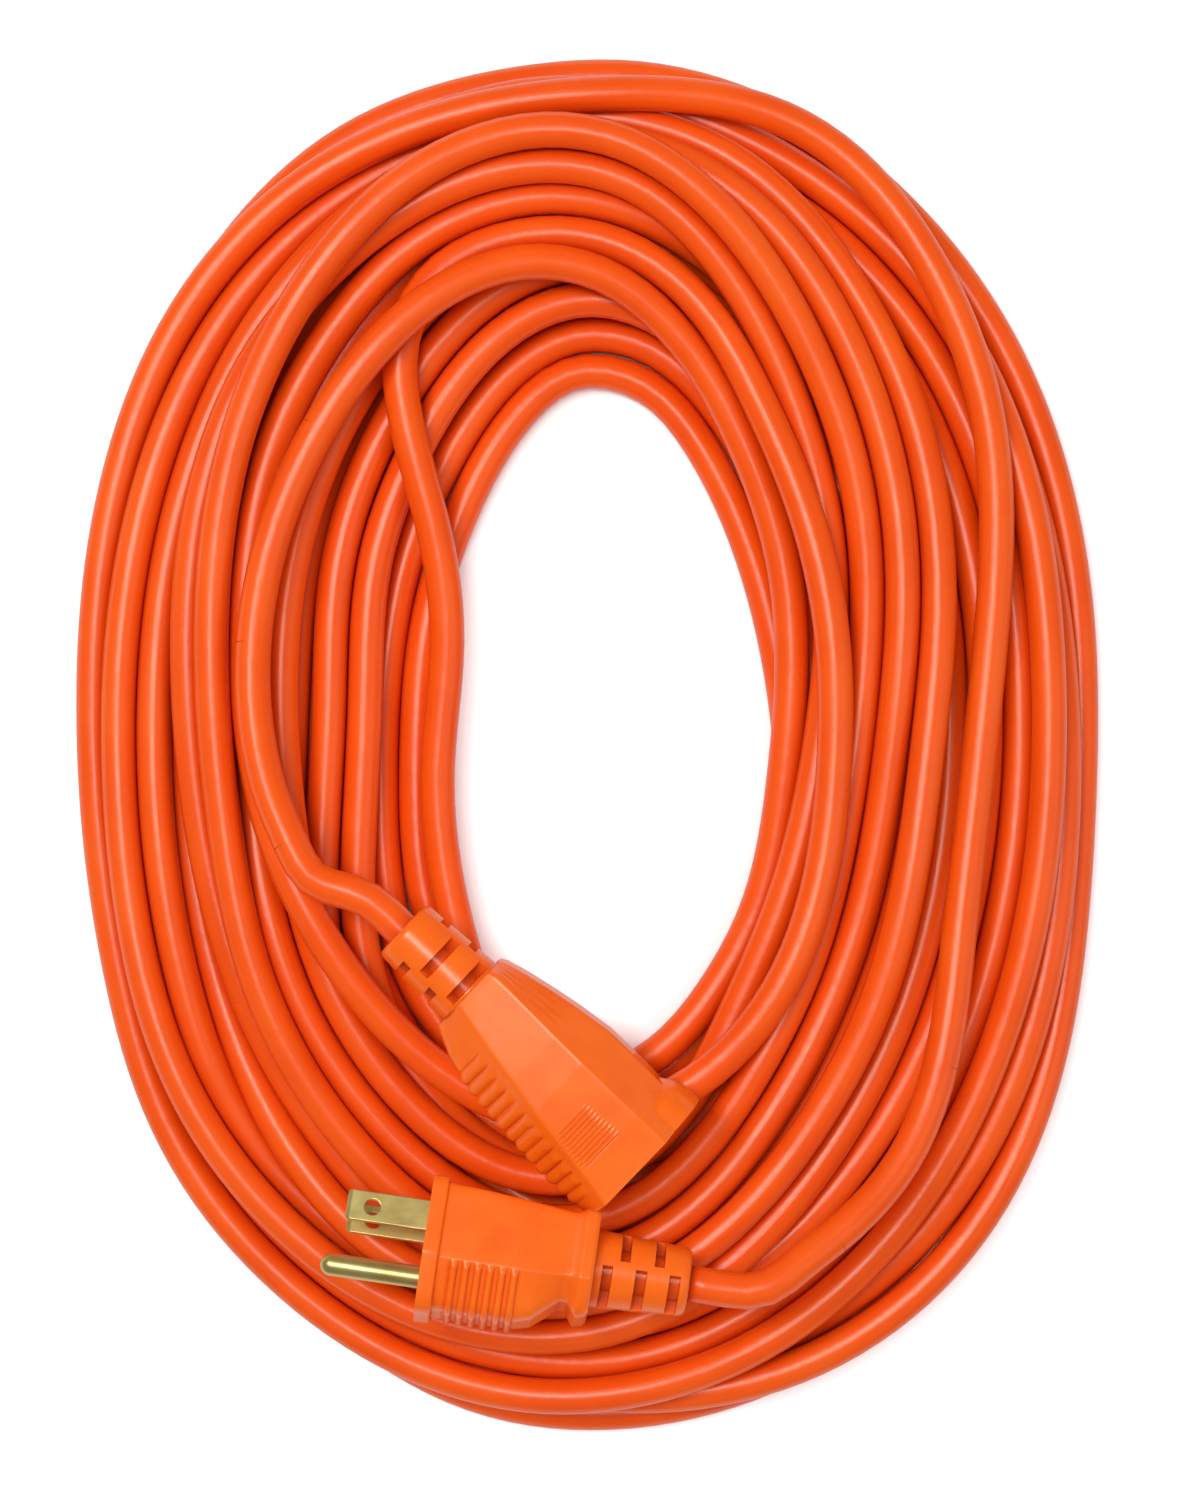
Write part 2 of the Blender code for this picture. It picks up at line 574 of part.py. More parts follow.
# --- MODEL: connector -------------------------------------------------------
def make_connector(shop):
    body = shop.piece("connector_body", prism((
        (0.0, d_section(12.4, -14.4, 3.0, 14.4, 3.0)), (-2.0, d_section(13.0, -15.2, 3.0, 14.9, 3.0)),
        (-24.0, d_section(12.6, -15.2, 3.0, 14.9, 3.0)), (-38.0, d_section(11.6, -13.8, 2.0, 13.2, 3.0)),
        (-49.0, d_section(10.4, -11.0, 1.0, 11.0, 3.0)), (-CONNECTOR_BODY, d_section(9.8, -10.0, 1.0, 10.2, 3.0)),
    )), MOULDED)
    shop.join(body, rod(relief_profile(-CONNECTOR_BODY + 1.0, CONNECTOR_RELIEF + 1.0, 8.4, 7.2), sides=20))
    shop.join(body, rod(((-12.0, 2.0), (-6.0, 5.0), (-1.2, 5.9), (-0.4, 5.5)), 0.0, 11.6, 14))
    shop.cut(body, block(GAP, -34.0, 1.0))
    shop.cut(body, rod(((-36.0, 5.5), (-33.5, 8.5)), sides=16))
    shop.cut(body, rod(((-75.0, CORD_R + 0.6), (-35.5, CORD_R + 0.6)), sides=16))
    shop.cut(body, *relief_slots(-CONNECTOR_BODY, 6.8, ((2, 3.6, 1, 0), (2, 3.6, -1, 0), (2, 7.0, 0, 1), (2, 7.0, 0, -1))))
    insert = shop.piece("connector_insert", block(0.0, -22.0, -0.2), MOULDED)
    cover = shop.piece("connector_rear_cover", block(0.0, -25.3, -22.3), MOULDED)
    for name, side, tall in (("hot", -1, BLADE_TALL), ("neutral", 1, NEUTRAL_SLOT_TALL)):
        x = side * BLADE_APART / 2
        shop.cut(insert, box(x - 1.0, x + 1.0, BLADE_LINE - tall / 2 - 0.4, BLADE_LINE + tall / 2 + 0.4, -4.0, 1.0))
        shop.cut(insert, box(x - 2.2, x + 2.2, BLADE_LINE - 4.4, BLADE_LINE + 4.4, -23.0, -3.0))
        shop.cut(cover, rod(((-26.0, 1.9), (-21.0, 1.9)), x, BLADE_LINE, 12))
        make_blade_contact(shop, name, x)
    shop.cut(insert, rod(((-4.0, 2.75), (1.0, 2.75)), 0.0, GROUND_LINE, 16))
    shop.cut(insert, rod(((-23.0, 3.4), (-3.0, 3.4)), 0.0, GROUND_LINE, 16))
    shop.cut(cover, rod(((-26.0, 1.9), (-21.0, 1.9)), 0.0, GROUND_LINE, 12))
    sleeve = shop.piece("connector_ground_contact", rod((
        (-29.0, 1.55), (-21.0, 1.55), (-20.6, 3.0), (-4.2, 3.0)), 0.0, GROUND_LINE, 16), BRASS, 1.0)
    shop.cut(sleeve, rod(((-18.5, 2.5), (-3.0, 2.5)), 0.0, GROUND_LINE, 16))
    shop.cut(sleeve, rod(((-30.0, 1.05), (-25.0, 1.05)), 0.0, GROUND_LINE, 12))


def make_blade_contact(shop, name, x):
    """Two spring leaves on a web, with a crimp barrel behind."""
    contact = shop.piece(f"connector_{name}_contact", box(x - 1.8, x + 1.8, BLADE_LINE - 3.2, BLADE_LINE + 3.2, -21.0, -4.6), BRASS, 1.0)
    shop.cut(contact, box(x - 1.0, x + 1.0, BLADE_LINE - 5.0, BLADE_LINE + 5.0, -19.5, -3.0))
    shop.join(contact, rod(((-29.0, 1.55), (-20.4, 1.55)), x, BLADE_LINE, 12))
    shop.cut(contact, rod(((-30.0, 1.05), (-25.0, 1.05)), x, BLADE_LINE, 12))


# --- MODEL: the hinged ends and the hank ------------------------------------
def make_links(collection, cord, along, length):
    """The two free lengths at each end and the hank between them."""
    clear = CORD_R + 2 * GAP
    for prefix, sign, origin in (("connector", 1.0, 0.0), ("plug", -1.0, length)):
        for name, far, near in (("outer", 0, 1), ("inner", 1, 2)):
            pivot = origin + sign * HINGE_AT[far]
            end = origin + sign * (HINGE_AT[near] + clear)
            path, radii = ball_end(cord, along, pivot, end, 9.0, ball_at_start=sign < 0)
            object_of(f"{prefix}_tail_{name}_jacket", tube(path, radii, TAIL_SIDES), collection, VINYL)
    start, end = HINGE_AT[0] + clear, length - HINGE_AT[0] - clear
    path = read_at(cord, along, ring_places(cord, along, start, end))
    return object_of("cord_jacket", tube(path, [CORD_R] * len(path), CORD_SIDES), collection, VINYL)


def pivot_at(name, cord, along, at, pieces, collection):
    """Empty on the hinge's axis that carries the pieces beyond it."""
    empty = bpy.data.objects.new(name, None)
    empty.location = Vector(read_at(cord, along, np.array([at]))[0]) * MM
    collection.objects.link(empty)
    bpy.context.view_layer.update()
    for obj in pieces:
        obj.parent = empty
        obj.matrix_parent_inverse = empty.matrix_world.inverted()
    return empty


def rest_on_floor(hank, roots):
    """Moves everything so that the hank's box stands on the origin, middle and bottom."""
    bpy.context.view_layer.update()
    corners = np.array([v.co for v in hank.data.vertices])
    low, high = corners.min(axis=0), corners.max(axis=0)
    shift = Vector((-(low[0] + high[0]) / 2, -(low[1] + high[1]) / 2, -low[2]))
    for obj in roots:
        obj.location += shift
    return shift


def make_fitting(prefix, collection, helpers, face, exit_point, height, roll, maker, depth, hot_side):
    shop = Shop(collection, helpers, fitting_frame(face, exit_point, height, roll))
    shop.exit = -math.dist(face, exit_point)
    maker(shop)
    jacket_end, barrel_end = depth
    jacket_with_bores(shop, f"{prefix}_end_jacket", jacket_end)
    make_wires(shop, prefix, jacket_end, barrel_end, hot_side)
    shop.settle()
    return shop.made


def build():
    for obj in list(bpy.data.objects):
        bpy.data.objects.remove(obj)
    collection = collection_named("extension_cord", False)
    helpers = collection_named("cutters", True)
    points, piece = packed_cord()
    cord = points[piece == 1]
    along = arc_length(cord)
    length = along[-1]
    hank = make_links(collection, cord, along, length)
    plug_height = float(points[piece == 2][:, 2].mean())
    connector_height = float(points[piece == 0][:, 2].mean())
    plug = make_fitting("plug", collection, helpers, PLUG_FACE, PLUG_EXIT, plug_height, PLUG_ROLL,
                        make_plug, (-26.0, -17.2), 1.0)
    connector = make_fitting("connector", collection, helpers, CONNECTOR_FACE, CONNECTOR_EXIT,
                             connector_height, CONNECTOR_ROLL, make_connector, (-38.0, -28.6), -1.0)
    empties = []
    for prefix, sign, origin, pieces in (("connector", 1.0, 0.0, connector), ("plug", -1.0, length, plug)):
        for name, at in zip(("outer", "inner"), HINGE_AT):
            jacket = bpy.data.objects[f"{prefix}_tail_{name}_jacket"]
            empties.append(pivot_at(f"{prefix}_{name}_pivot", cord, along, origin + sign * at, [jacket], collection))
        empties.append(pivot_at(f"{prefix}_end_pivot", cord, along, origin + sign * HINGE_AT[2], pieces, collection))
    rest_on_floor(hank, [hank] + empties)


build()
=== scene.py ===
"""Looks of the coiled orange extension cord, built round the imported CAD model.

The frame is in metres, +Z up, with the floor at z = 0. Shapes of the fittings are drawn in
millimetres in each fitting's own axes: x from blade to blade, y towards the ground pin and
z out of the front face, with the origin in the middle of that face on the cord's axis.
"""

import json
import math

import bmesh
import bpy
import numpy as np
from mathutils import Matrix, Vector


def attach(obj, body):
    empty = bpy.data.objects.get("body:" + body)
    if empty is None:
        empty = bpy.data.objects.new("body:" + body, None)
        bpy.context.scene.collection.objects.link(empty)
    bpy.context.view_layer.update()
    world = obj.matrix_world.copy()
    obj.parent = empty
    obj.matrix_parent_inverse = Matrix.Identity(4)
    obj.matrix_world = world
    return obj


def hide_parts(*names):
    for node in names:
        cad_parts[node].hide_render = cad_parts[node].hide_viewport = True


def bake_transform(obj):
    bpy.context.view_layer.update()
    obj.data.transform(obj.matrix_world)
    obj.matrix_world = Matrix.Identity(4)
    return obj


MM = 0.001
CORD_R = 3.9
CORD_AROUND = 20  # sides of the finished cord
CORD_SPACING = 4.5  # between its rings
BLADE_LINE, GROUND_LINE = -4.6, 7.3  # lines of the blades and the ground pin, on y
AXIS_TO_BLADES = 4.6
BLADE_APART, BLADE_TALL = 12.7, 6.35

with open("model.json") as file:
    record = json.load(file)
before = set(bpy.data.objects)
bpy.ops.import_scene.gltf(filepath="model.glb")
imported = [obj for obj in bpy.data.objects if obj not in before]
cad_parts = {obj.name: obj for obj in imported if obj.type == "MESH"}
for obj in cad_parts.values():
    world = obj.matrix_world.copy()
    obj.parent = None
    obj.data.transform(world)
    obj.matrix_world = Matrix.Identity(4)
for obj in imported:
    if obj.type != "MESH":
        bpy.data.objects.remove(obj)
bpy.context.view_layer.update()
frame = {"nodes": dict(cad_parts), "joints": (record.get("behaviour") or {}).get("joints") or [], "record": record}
JOINTS = {joint["name"]: joint for joint in frame["joints"]}
MOUNTS = {mount["name"]: mount for mount in frame["record"]["mounts"]}


# --- reading the frame ------------------------------------------------------
def corners_of(node):
    """A CAD node's vertices, each place once, and its edges, in millimetres."""
    mesh = frame["nodes"][node].data
    places, index, order = {}, [], []
    for vertex in mesh.vertices:
        key = tuple(round(c * 1e6) for c in vertex.co)
        if key not in places:
            places[key] = len(order)
            order.append(vertex.co / MM)
        index.append(places[key])
    edges = {tuple(sorted((index[a], index[b]))) for a, b in (e.vertices for e in mesh.edges)}
    return order, sorted(edge for edge in edges if edge[0] != edge[1])


def rings_of(node, sides, longest):
    """Middles of a faceted tube's rings, in order along it; edges within a ring are shorter."""
    points, edges = corners_of(node)
    parent = list(range(len(points)))

    def root(i):
        while parent[i] != i:
            parent[i] = parent[parent[i]]
            i = parent[i]
        return i

    for a, b in edges:
        if (points[a] - points[b]).length < longest:
            parent[root(a)] = root(b)
    groups = {}
    for i in range(len(points)):
        groups.setdefault(root(i), []).append(i)
    middles = {key: sum((points[i] for i in group), Vector()) / len(group) for key, group in groups.items()}
    links = {key: set() for key in groups}
    for a, b in edges:
        first, second = root(a), root(b)
        if first != second:
            links[first].add(second)
            links[second].add(first)
    whole = {key for key, group in groups.items() if len(group) == sides}
    start = min(key for key in groups if len(links[key]) == 1)
    path, seen = [], set()
    step = start
    while step is not None:
        seen.add(step)
        if step in whole:
            path.append(middles[step])
        step = next((key for key in sorted(links[step]) if key not in seen), None)
    return path


def joint_place(name):
    return Vector(JOINTS[name]["pos_m"]) / MM


def nearest_first(path, place):
    """The path, turned round if its far end is the nearer to a place."""
    return path if (path[0] - place).length < (path[-1] - place).length else path[::-1]


def fitting_axes(prefix, right, left, body):
    """Matrix from a fitting's own axes (in mm) to the frame (in mm); x runs from left to right."""
    out = Vector(MOUNTS[f"{prefix}_face"]["axis"]).normalized()
    right_points, left_points = corners_of(right)[0], corners_of(left)[0]

    def middle(points):
        low = Vector([min(p[k] for p in points) for k in range(3)])
        high = Vector([max(p[k] for p in points) for k in range(3)])
        return (low + high) / 2

    apart = middle(right_points) - middle(left_points)
    across = (apart - out * apart.dot(out)).normalized()
    ground = out.cross(across)
    front = max(p.dot(out) for p in corners_of(body)[0])
    line = (middle(right_points) + middle(left_points)) / 2
    origin = line + out * (front - line.dot(out)) + ground * AXIS_TO_BLADES
    turn = Matrix((across, ground, out)).transposed().to_4x4()
    return Matrix.Translation(origin) @ turn


# --- curves -----------------------------------------------------------------
def spline(points, spacing):
    """Evenly spaced points on a curve through points, with continuous curvature."""
    p = np.array([tuple(q) for q in points])
    along = np.concatenate([[0.0], np.cumsum(np.sqrt(((p[1:] - p[:-1]) ** 2).sum(axis=1)))])
    h = np.diff(along)
    n = len(p)
    rise = (p[1:] - p[:-1]) / h[:, None]
    bend = np.zeros_like(p)
    diagonal = 2 * (h[:-1] + h[1:])
    right = 6 * (rise[1:] - rise[:-1])
    for i in range(1, n - 2):
        share = h[i] / diagonal[i - 1]
        diagonal[i] -= share * h[i]
        right[i] -= share * right[i - 1]
    for i in range(n - 2, 0, -1):
        bend[i] = (right[i - 1] - h[i] * bend[i + 1]) / diagonal[i - 1]
    count = max(2, int(round(along[-1] / spacing)))
    at = np.linspace(0.0, along[-1], count + 1)
    i = np.clip(np.searchsorted(along, at) - 1, 0, n - 2)
    a = (along[i + 1] - at) / h[i]
    b = 1 - a
    lift = ((a**3 - a)[:, None] * bend[i] + (b**3 - b)[:, None] * bend[i + 1]) * (h[i] ** 2)[:, None] / 6
    return p[i] * a[:, None] + p[i + 1] * b[:, None] + lift, at


def object_from(name, verts, faces):
    """New smooth-shaded object in the scene."""
    mesh = bpy.data.meshes.new(name)
    mesh.from_pydata([tuple(v) for v in verts], [], faces)
    mesh.validate()
    for polygon in mesh.polygons:
        polygon.use_smooth = True
    obj = bpy.data.objects.new(name, mesh)
    bpy.context.scene.collection.objects.link(obj)
    return obj


def tube(name, centres, along, radius, cap_start=False, cap_end=False):
    """Round skin with a map of distance along (u, in m) and turn round (v)."""
    centres = np.asarray(centres)
    heads = np.gradient(centres, axis=0)
    heads /= np.sqrt((heads**2).sum(axis=1))[:, None]
    side = np.cross(heads, (0.0, 0.0, 1.0))
    side /= np.sqrt((side**2).sum(axis=1))[:, None]
    up = np.cross(side, heads)
    turns = np.arange(CORD_AROUND) * 2 * math.pi / CORD_AROUND
    spokes = side[:, None] * np.cos(turns)[:, None] + up[:, None] * np.sin(turns)[:, None]
    skin = centres[:, None] + radius * spokes
    rows = len(centres)
    index = np.arange(rows * CORD_AROUND).reshape(rows, CORD_AROUND)
    beside = np.roll(index, -1, axis=1)
    faces = np.stack([index[:-1], index[1:], beside[1:], beside[:-1]], axis=-1).reshape(-1, 4).tolist()
    if cap_start:
        faces.append(index[0].tolist())
    if cap_end:
        faces.append(index[-1][::-1].tolist())
    obj = object_from(name, skin.reshape(-1, 3) * MM, faces)
    layer = obj.data.uv_layers.new(name="along")
    uv = np.zeros((len(obj.data.loops), 2))
    corner = np.zeros(len(obj.data.loops), np.int32)
    obj.data.loops.foreach_get("vertex_index", corner)
    row, column = corner // CORD_AROUND, corner % CORD_AROUND
    uv[:, 0] = np.asarray(along)[row] * MM
    uv[:, 1] = column / CORD_AROUND
    quads = (rows - 1) * CORD_AROUND
    turn_round = uv[: quads * 4, 1].reshape(quads, 4)
    on_seam = (turn_round.max(axis=1) - turn_round.min(axis=1)) > 0.5
    turn_round[on_seam] += np.where(turn_round[on_seam] < 0.5, 1.0, 0.0)
    layer.data.foreach_set("uv", uv.reshape(-1))
    return obj


# --- moulded shapes ---------------------------------------------------------
def outline(corners, steps, arc=3):
    """Rounded polygon from (x, y, radius) corners, as (x, y, side, share along the side).

    Side k runs from corner k to the next one; the points of the rounding at corner k count as side k - 0.5.
    """
    count = len(corners)
    points = []
    for k in range(count):
        here = Vector(corners[k][:2])
        before, after = Vector(corners[k - 1][:2]), Vector(corners[(k + 1) % count][:2])
        inward, onward = (here - before).normalized(), (after - here).normalized()
        turn = inward.angle_signed(onward)
        radius = corners[k][2]
        cut = radius * math.tan(abs(turn) / 2)
        start, end = here - inward * cut, here + onward * cut
        centre = start + Vector((-inward.y, inward.x)) * radius
        for j in range(arc + 1):
            angle = abs(turn) * j / arc
            spoke = start - centre
            spoke = Vector((spoke.x * math.cos(angle) - spoke.y * math.sin(angle),
                            spoke.x * math.sin(angle) + spoke.y * math.cos(angle)))
            points.append((centre.x + spoke.x, centre.y + spoke.y, k - 0.5, j / arc))
        following = corners[(k + 1) % count]
        far_turn = onward.angle_signed((Vector(corners[(k + 2) % count][:2]) - after).normalized())
        far = after - onward * following[2] * math.tan(abs(far_turn) / 2)
        for j in range(1, steps[k]):
            share = j / steps[k]
            spot = end + (far - end) * share
            points.append((spot.x, spot.y, float(k), share))
    return points


def grown(points, by):
    """The outline moved outwards by a distance, or by one distance for each point."""
    xy = np.array([p[:2] for p in points])
    along = np.roll(xy, -1, axis=0) - np.roll(xy, 1, axis=0)
    along /= np.sqrt((along**2).sum(axis=1))[:, None]
    normal = np.stack([along[:, 1], -along[:, 0]], axis=1)
    return xy + normal * np.broadcast_to(np.asarray(by, float), (len(xy),))[:, None]


def circle_like(points, radius, middle=(0.0, 0.0)):
    """As many points as an outline has, on a circle, at the same turns about the middle."""
    first = math.atan2(points[0][1] - middle[1], points[0][0] - middle[0])
    turns = first + np.arange(len(points)) * 2 * math.pi / len(points)
    radius = radius(turns) if callable(radius) else radius
    return np.stack([middle[0] + radius * np.cos(turns), middle[1] + radius * np.sin(turns)], axis=1)


def between(keys, at):
    """Corner values at a depth, read off straight lines between (depth, values) keys."""
    depths = [key[0] for key in keys]
    i = min(max(int(np.searchsorted(depths, at)) - 1, 0), len(keys) - 2)
    share = (at - depths[i]) / (depths[i + 1] - depths[i])
    share = min(max(share, 0.0), 1.0)
    return [a + (b - a) * share for a, b in zip(keys[i][1], keys[i + 1][1])]


def skin(name, rings, axes, smooth_angle=38):
    """Closed surface through (depth, ring) pairs, front first, placed in the frame."""
    verts, faces = [], []
    count = len(rings[0][1])
    for depth, ring in rings:
        verts += [axes @ Vector((x, y, -depth)) * MM for x, y in ring]
    for r in range(len(rings) - 1):
        for i in range(count):
            j = (i + 1) % count
            a, b = r * count, (r + 1) * count
            faces.append((a + i, b + i, b + j, a + j))
    faces.append(list(range(count)))
    faces.append([len(verts) - 1 - i for i in range(count)])
    obj = object_from(name, verts, faces)
    fix_normals(obj)
    obj.data.set_sharp_from_angle(angle=math.radians(smooth_angle))
    return obj


def fix_normals(obj):
    mesh = bmesh.new()
    mesh.from_mesh(obj.data)
    bmesh.ops.recalc_face_normals(mesh, faces=mesh.faces)
    mesh.to_mesh(obj.data)
    mesh.free()


def ramp(value, start, end):
    """0 before start, 1 after end, smooth between."""
    t = min(max((value - start) / (end - start), 0.0), 1.0)
    return t * t * (3 - 2 * t)


def hump(distance, half):
    """1 at the middle of a rounded rib, 0 at its foot."""
    return math.sqrt(max(0.0, 1.0 - (distance / half) ** 2))


def steps_through(*stretches):
    """Depths through (start, end, spacing) stretches."""
    depths = []
    for start, end, spacing in stretches:
        count = max(1, int(round((end - start) / spacing)))
        depths += [start + (end - start) * i / count for i in range(count)]
    return depths + [stretches[-1][1]]


# Of a strain relief: its end's rounding, where its taper stops short of the end, the depth of its bore.
END_ROUNDING, TAPER_SHORT, BORE_DEPTH = 1.1, 1.2, 5.0


def relief_rings(points, start, end, thick, thin, windows, middle, twist):
    """Rings of a strain relief: tapering tube with staggered windows, rounded end and bore.

    The windows lie in two opposite quarters of the turn each, as (which quarters, depth, width).
    """
    step, core = 0.12, 4.6  # depth that a window's side takes, and radius of the core inside
    edge, bore = 0.16, CORD_R + 0.25
    spine = math.radians(6)  # left standing on each side of a window

    def open_at(depth, turns):
        shut = np.ones(len(turns))
        for parity, centre, width in windows:
            if abs(depth - centre) > width / 2:
                continue
            turned_by = turns - math.radians(twist)
            quarter = np.floor(turned_by / (math.pi / 2)).astype(int) % 2
            across = np.mod(turned_by, math.pi / 2)
            inside = (quarter == parity) & (across > spine) & (across < math.pi / 2 - spine)
            shut = np.where(inside, 0.0, shut)
        return shut

    depths = set(steps_through((start, end - TAPER_SHORT, 0.9)))
    for _, centre, width in windows:
        for side in (-1, 1):
            depths |= {centre + side * (width / 2 + step / 2), centre + side * (width / 2 - step / 2)}
    rings = []
    for depth in sorted(depths):
        outer = thick + (thin - thick) * (depth - start) / (end - start)
        ring = circle_like(points, lambda t: np.where(open_at(depth, t) > 0.5, outer, core), middle)
        rings.append((depth, ring))
    for share in (0.0, 0.35, 0.7, 1.0):
        turn = share * math.pi / 2
        ring = circle_like(points, thin - END_ROUNDING * (1 - math.cos(turn)), middle)
        rings.append((end - END_ROUNDING * (1 - math.sin(turn)), ring))
    rings.append((end, circle_like(points, bore + edge, middle)))
    rings.append((end - edge, circle_like(points, bore, middle)))
    rings.append((end - BORE_DEPTH, circle_like(points, bore, middle)))
    return rings


# --- plug -------------------------------------------------------------------
PLUG_STEPS = (16, 14, 10, 14, 16, 26)
#        depth, (half width, low, ridge, high, high corner, low radius, ridge radius, high radius)
PLUG_KEYS = (
    (3.4, (12.3, -11.3, 4.9, 14.6, 7.0, 1.3, 0.9, 4.0)),
    (12.0, (12.1, -10.8, 4.9, 14.9, 7.0, 1.3, 0.9, 4.0)),
    (20.0, (11.8, -10.2, 4.9, 14.8, 6.8, 1.3, 0.9, 4.0)),
    (24.5, (11.5, -9.8, 4.9, 13.6, 6.4, 1.3, 0.9, 3.8)),
    (28.5, (11.1, -9.5, 4.8, 10.2, 6.0, 1.3, 0.9, 3.2)),
    (30.0, (11.0, -9.4, 4.6, 9.0, 6.0, 1.3, 0.9, 2.6)),
    (31.4, (11.0, -9.4, 4.6, 9.1, 6.0, 1.3, 0.9, 2.6)),
    (32.3, (11.3, -9.8, 4.7, 10.6, 6.3, 1.3, 0.9, 3.0)),
    (33.4, (11.8, -10.5, 4.8, 12.0, 6.8, 1.3, 0.9, 3.2)),
    (35.4, (11.7, -10.5, 4.8, 11.4, 6.6, 1.3, 0.9, 3.2)),
    (36.0, (11.2, -10.0, 4.6, 10.8, 6.3, 1.2, 0.9, 3.0)),
)
FLANGE = (13.2, -12.4, 4.4, 15.8, 8.4, 2.2, 2.2, 4.6)


def plug_corners(values):
    half, low, ridge, high, top, low_r, ridge_r, high_r = values
    return ((half, low, low_r), (half, ridge, ridge_r), (top, high, high_r),
            (-top, high, high_r), (-half, ridge, ridge_r), (-half, low, low_r))


POCKET = ((9.6, -9.2, 0.4), (9.6, 2.5, 0.4), (4.9, 11.4, 0.4),
          (-4.9, 11.4, 0.4), (-9.6, 2.5, 0.4), (-9.6, -9.2, 0.4))


RIBS, RIB_PITCH = 6, 2.56


def plug_ribs(point, depth):
    """Height above the plain body: raised grip ribs in a shallow bed, round the ground pin's side."""
    side = point[2]
    if side < 1 or side > 3 or not 4.0 < depth < 22.0:
        return 0.0
    share = {1: point[3], 3: 1 - point[3]}.get(side, 1.0)
    fade = ramp(share, 0.02, 0.10)
    rib = max(hump(depth - (6.9 + RIB_PITCH * k), 0.82) for k in range(RIBS))
    bed = ramp(depth, 5.4, 6.0) * (1 - ramp(depth, 20.6, 21.2))
    return fade * (0.85 * rib - 0.2 * bed)


def make_plug_body(axes):
    """One closed skin: pocket for the insert, flange, ribbed body, shoulder and strain relief."""
    flange = outline(plug_corners(FLANGE), PLUG_STEPS)
    pocket = outline(POCKET, PLUG_STEPS)
    rings = [(13.0, grown(pocket, 0.0)), (0.2, grown(pocket, 0.0)), (0.0, grown(pocket, 0.2))]
    rings += round_over(flange, 0.0, 0.55, opening=True)
    rings += round_over(flange, 2.9, 0.5, opening=False)
    foot = outline(plug_corners(PLUG_KEYS[0][1]), PLUG_STEPS)
    rings.append((3.42, grown(foot, 0.35)))
    rings.append((3.6, grown(foot, 0.06)))
    for depth in steps_through((3.8, 22.0, 0.16), (22.0, 35.4, 0.3), (35.4, 36.0, 0.2)):
        points = outline(plug_corners(between(PLUG_KEYS, depth)), PLUG_STEPS)
        rings.append((depth, grown(points, [plug_ribs(p, depth) for p in points])))
    rings.append((36.02, circle_like(foot, 8.9)))
    windows = [(1, 38.9, 2.1), (1, 46.1, 2.3), (1, 53.3, 2.3), (0, 42.4, 2.0), (0, 49.7, 2.0)]
    rings += relief_rings(foot, 36.3, 56.5, 8.3, 7.2, windows, (0.0, 0.0), 0)
    body = skin("plug_moulding", rings, axes)
    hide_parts("plug_body")
    return body


def round_over(points, depth, radius, opening):
    """Rings of a rounded edge: outwards from the front face if opening, or inwards from the side."""
    rings = []
    for share in (0.0, 0.3, 0.6, 1.0):
        turn = share * math.pi / 2
        if opening:
            inset = radius * (1 - math.cos(math.pi / 2 - turn))
            rings.append((depth + radius * (1 - math.sin(turn)), grown(points, -inset)))
        else:
            rings.append((depth + radius * math.sin(turn), grown(points, -radius * (1 - math.cos(turn)))))
    return rings


# --- connector --------------------------------------------------------------
CONNECTOR_STEPS = (22, 14, 8, 14, 22, 12, 10, 12)
#        depth, (top x, left ridge, right ridge, right side, its x, left side, its x)
CONNECTOR_KEYS = (
    (0.0, (12.5, -10.7, 7.6, 14.4, 3.6, -16.2, 4.2)),
    (8.0, (12.8, -9.2, 7.7, 14.8, 3.6, -16.6, 4.2)),
    (14.0, (12.8, -8.3, 7.7, 15.1, 3.6, -16.6, 4.2)),
    (24.0, (12.7, -6.8, 7.8, 15.2, 3.6, -15.8, 4.0)),
    (32.0, (12.0, -5.4, 7.9, 14.2, 3.5, -15.0, 3.9)),
    (38.0, (11.1, -4.4, 8.0, 13.2, 3.4, -14.2, 3.8)),
    (45.0, (9.9, -3.0, 8.1, 11.8, 3.2, -12.2, 3.6)),
    (49.5, (9.2, -2.3, 8.1, 10.6, 3.0, -10.0, 3.4)),
    (51.0, (8.7, -2.1, 7.6, 9.8, 3.0, -9.2, 3.4)),
)
CONNECTOR_POCKET = POCKET + ((-3.0, -9.4, 0.4), (3.0, -9.4, 0.4))


def connector_corners(values):
    top, left, right, right_side, right_x, left_side, left_x = values
    return ((top, left, 0.9), (top, right, 0.9), (right_x, right_side, 1.6), (-right_x, right_side, 1.6),
            (-top, right, 0.9), (-top, left, 0.9), (-left_x, left_side, 2.2), (left_x, left_side, 2.2))


def lobe_reach(side, share):
    """How far round the grip side a point is: 1 on it, 0 off it."""
    if 5.5 <= side <= 6.5:
        return 1.0
    if side == 7:
        return ramp(1 - share, 0.22, 0.36)
    return ramp(share, 0.22, 0.36) if side == 5 else 0.0


LOBE_PITCH, FINE_PITCH = 3.1, 0.98  # of the grip lobes and of the panel's fine ribs


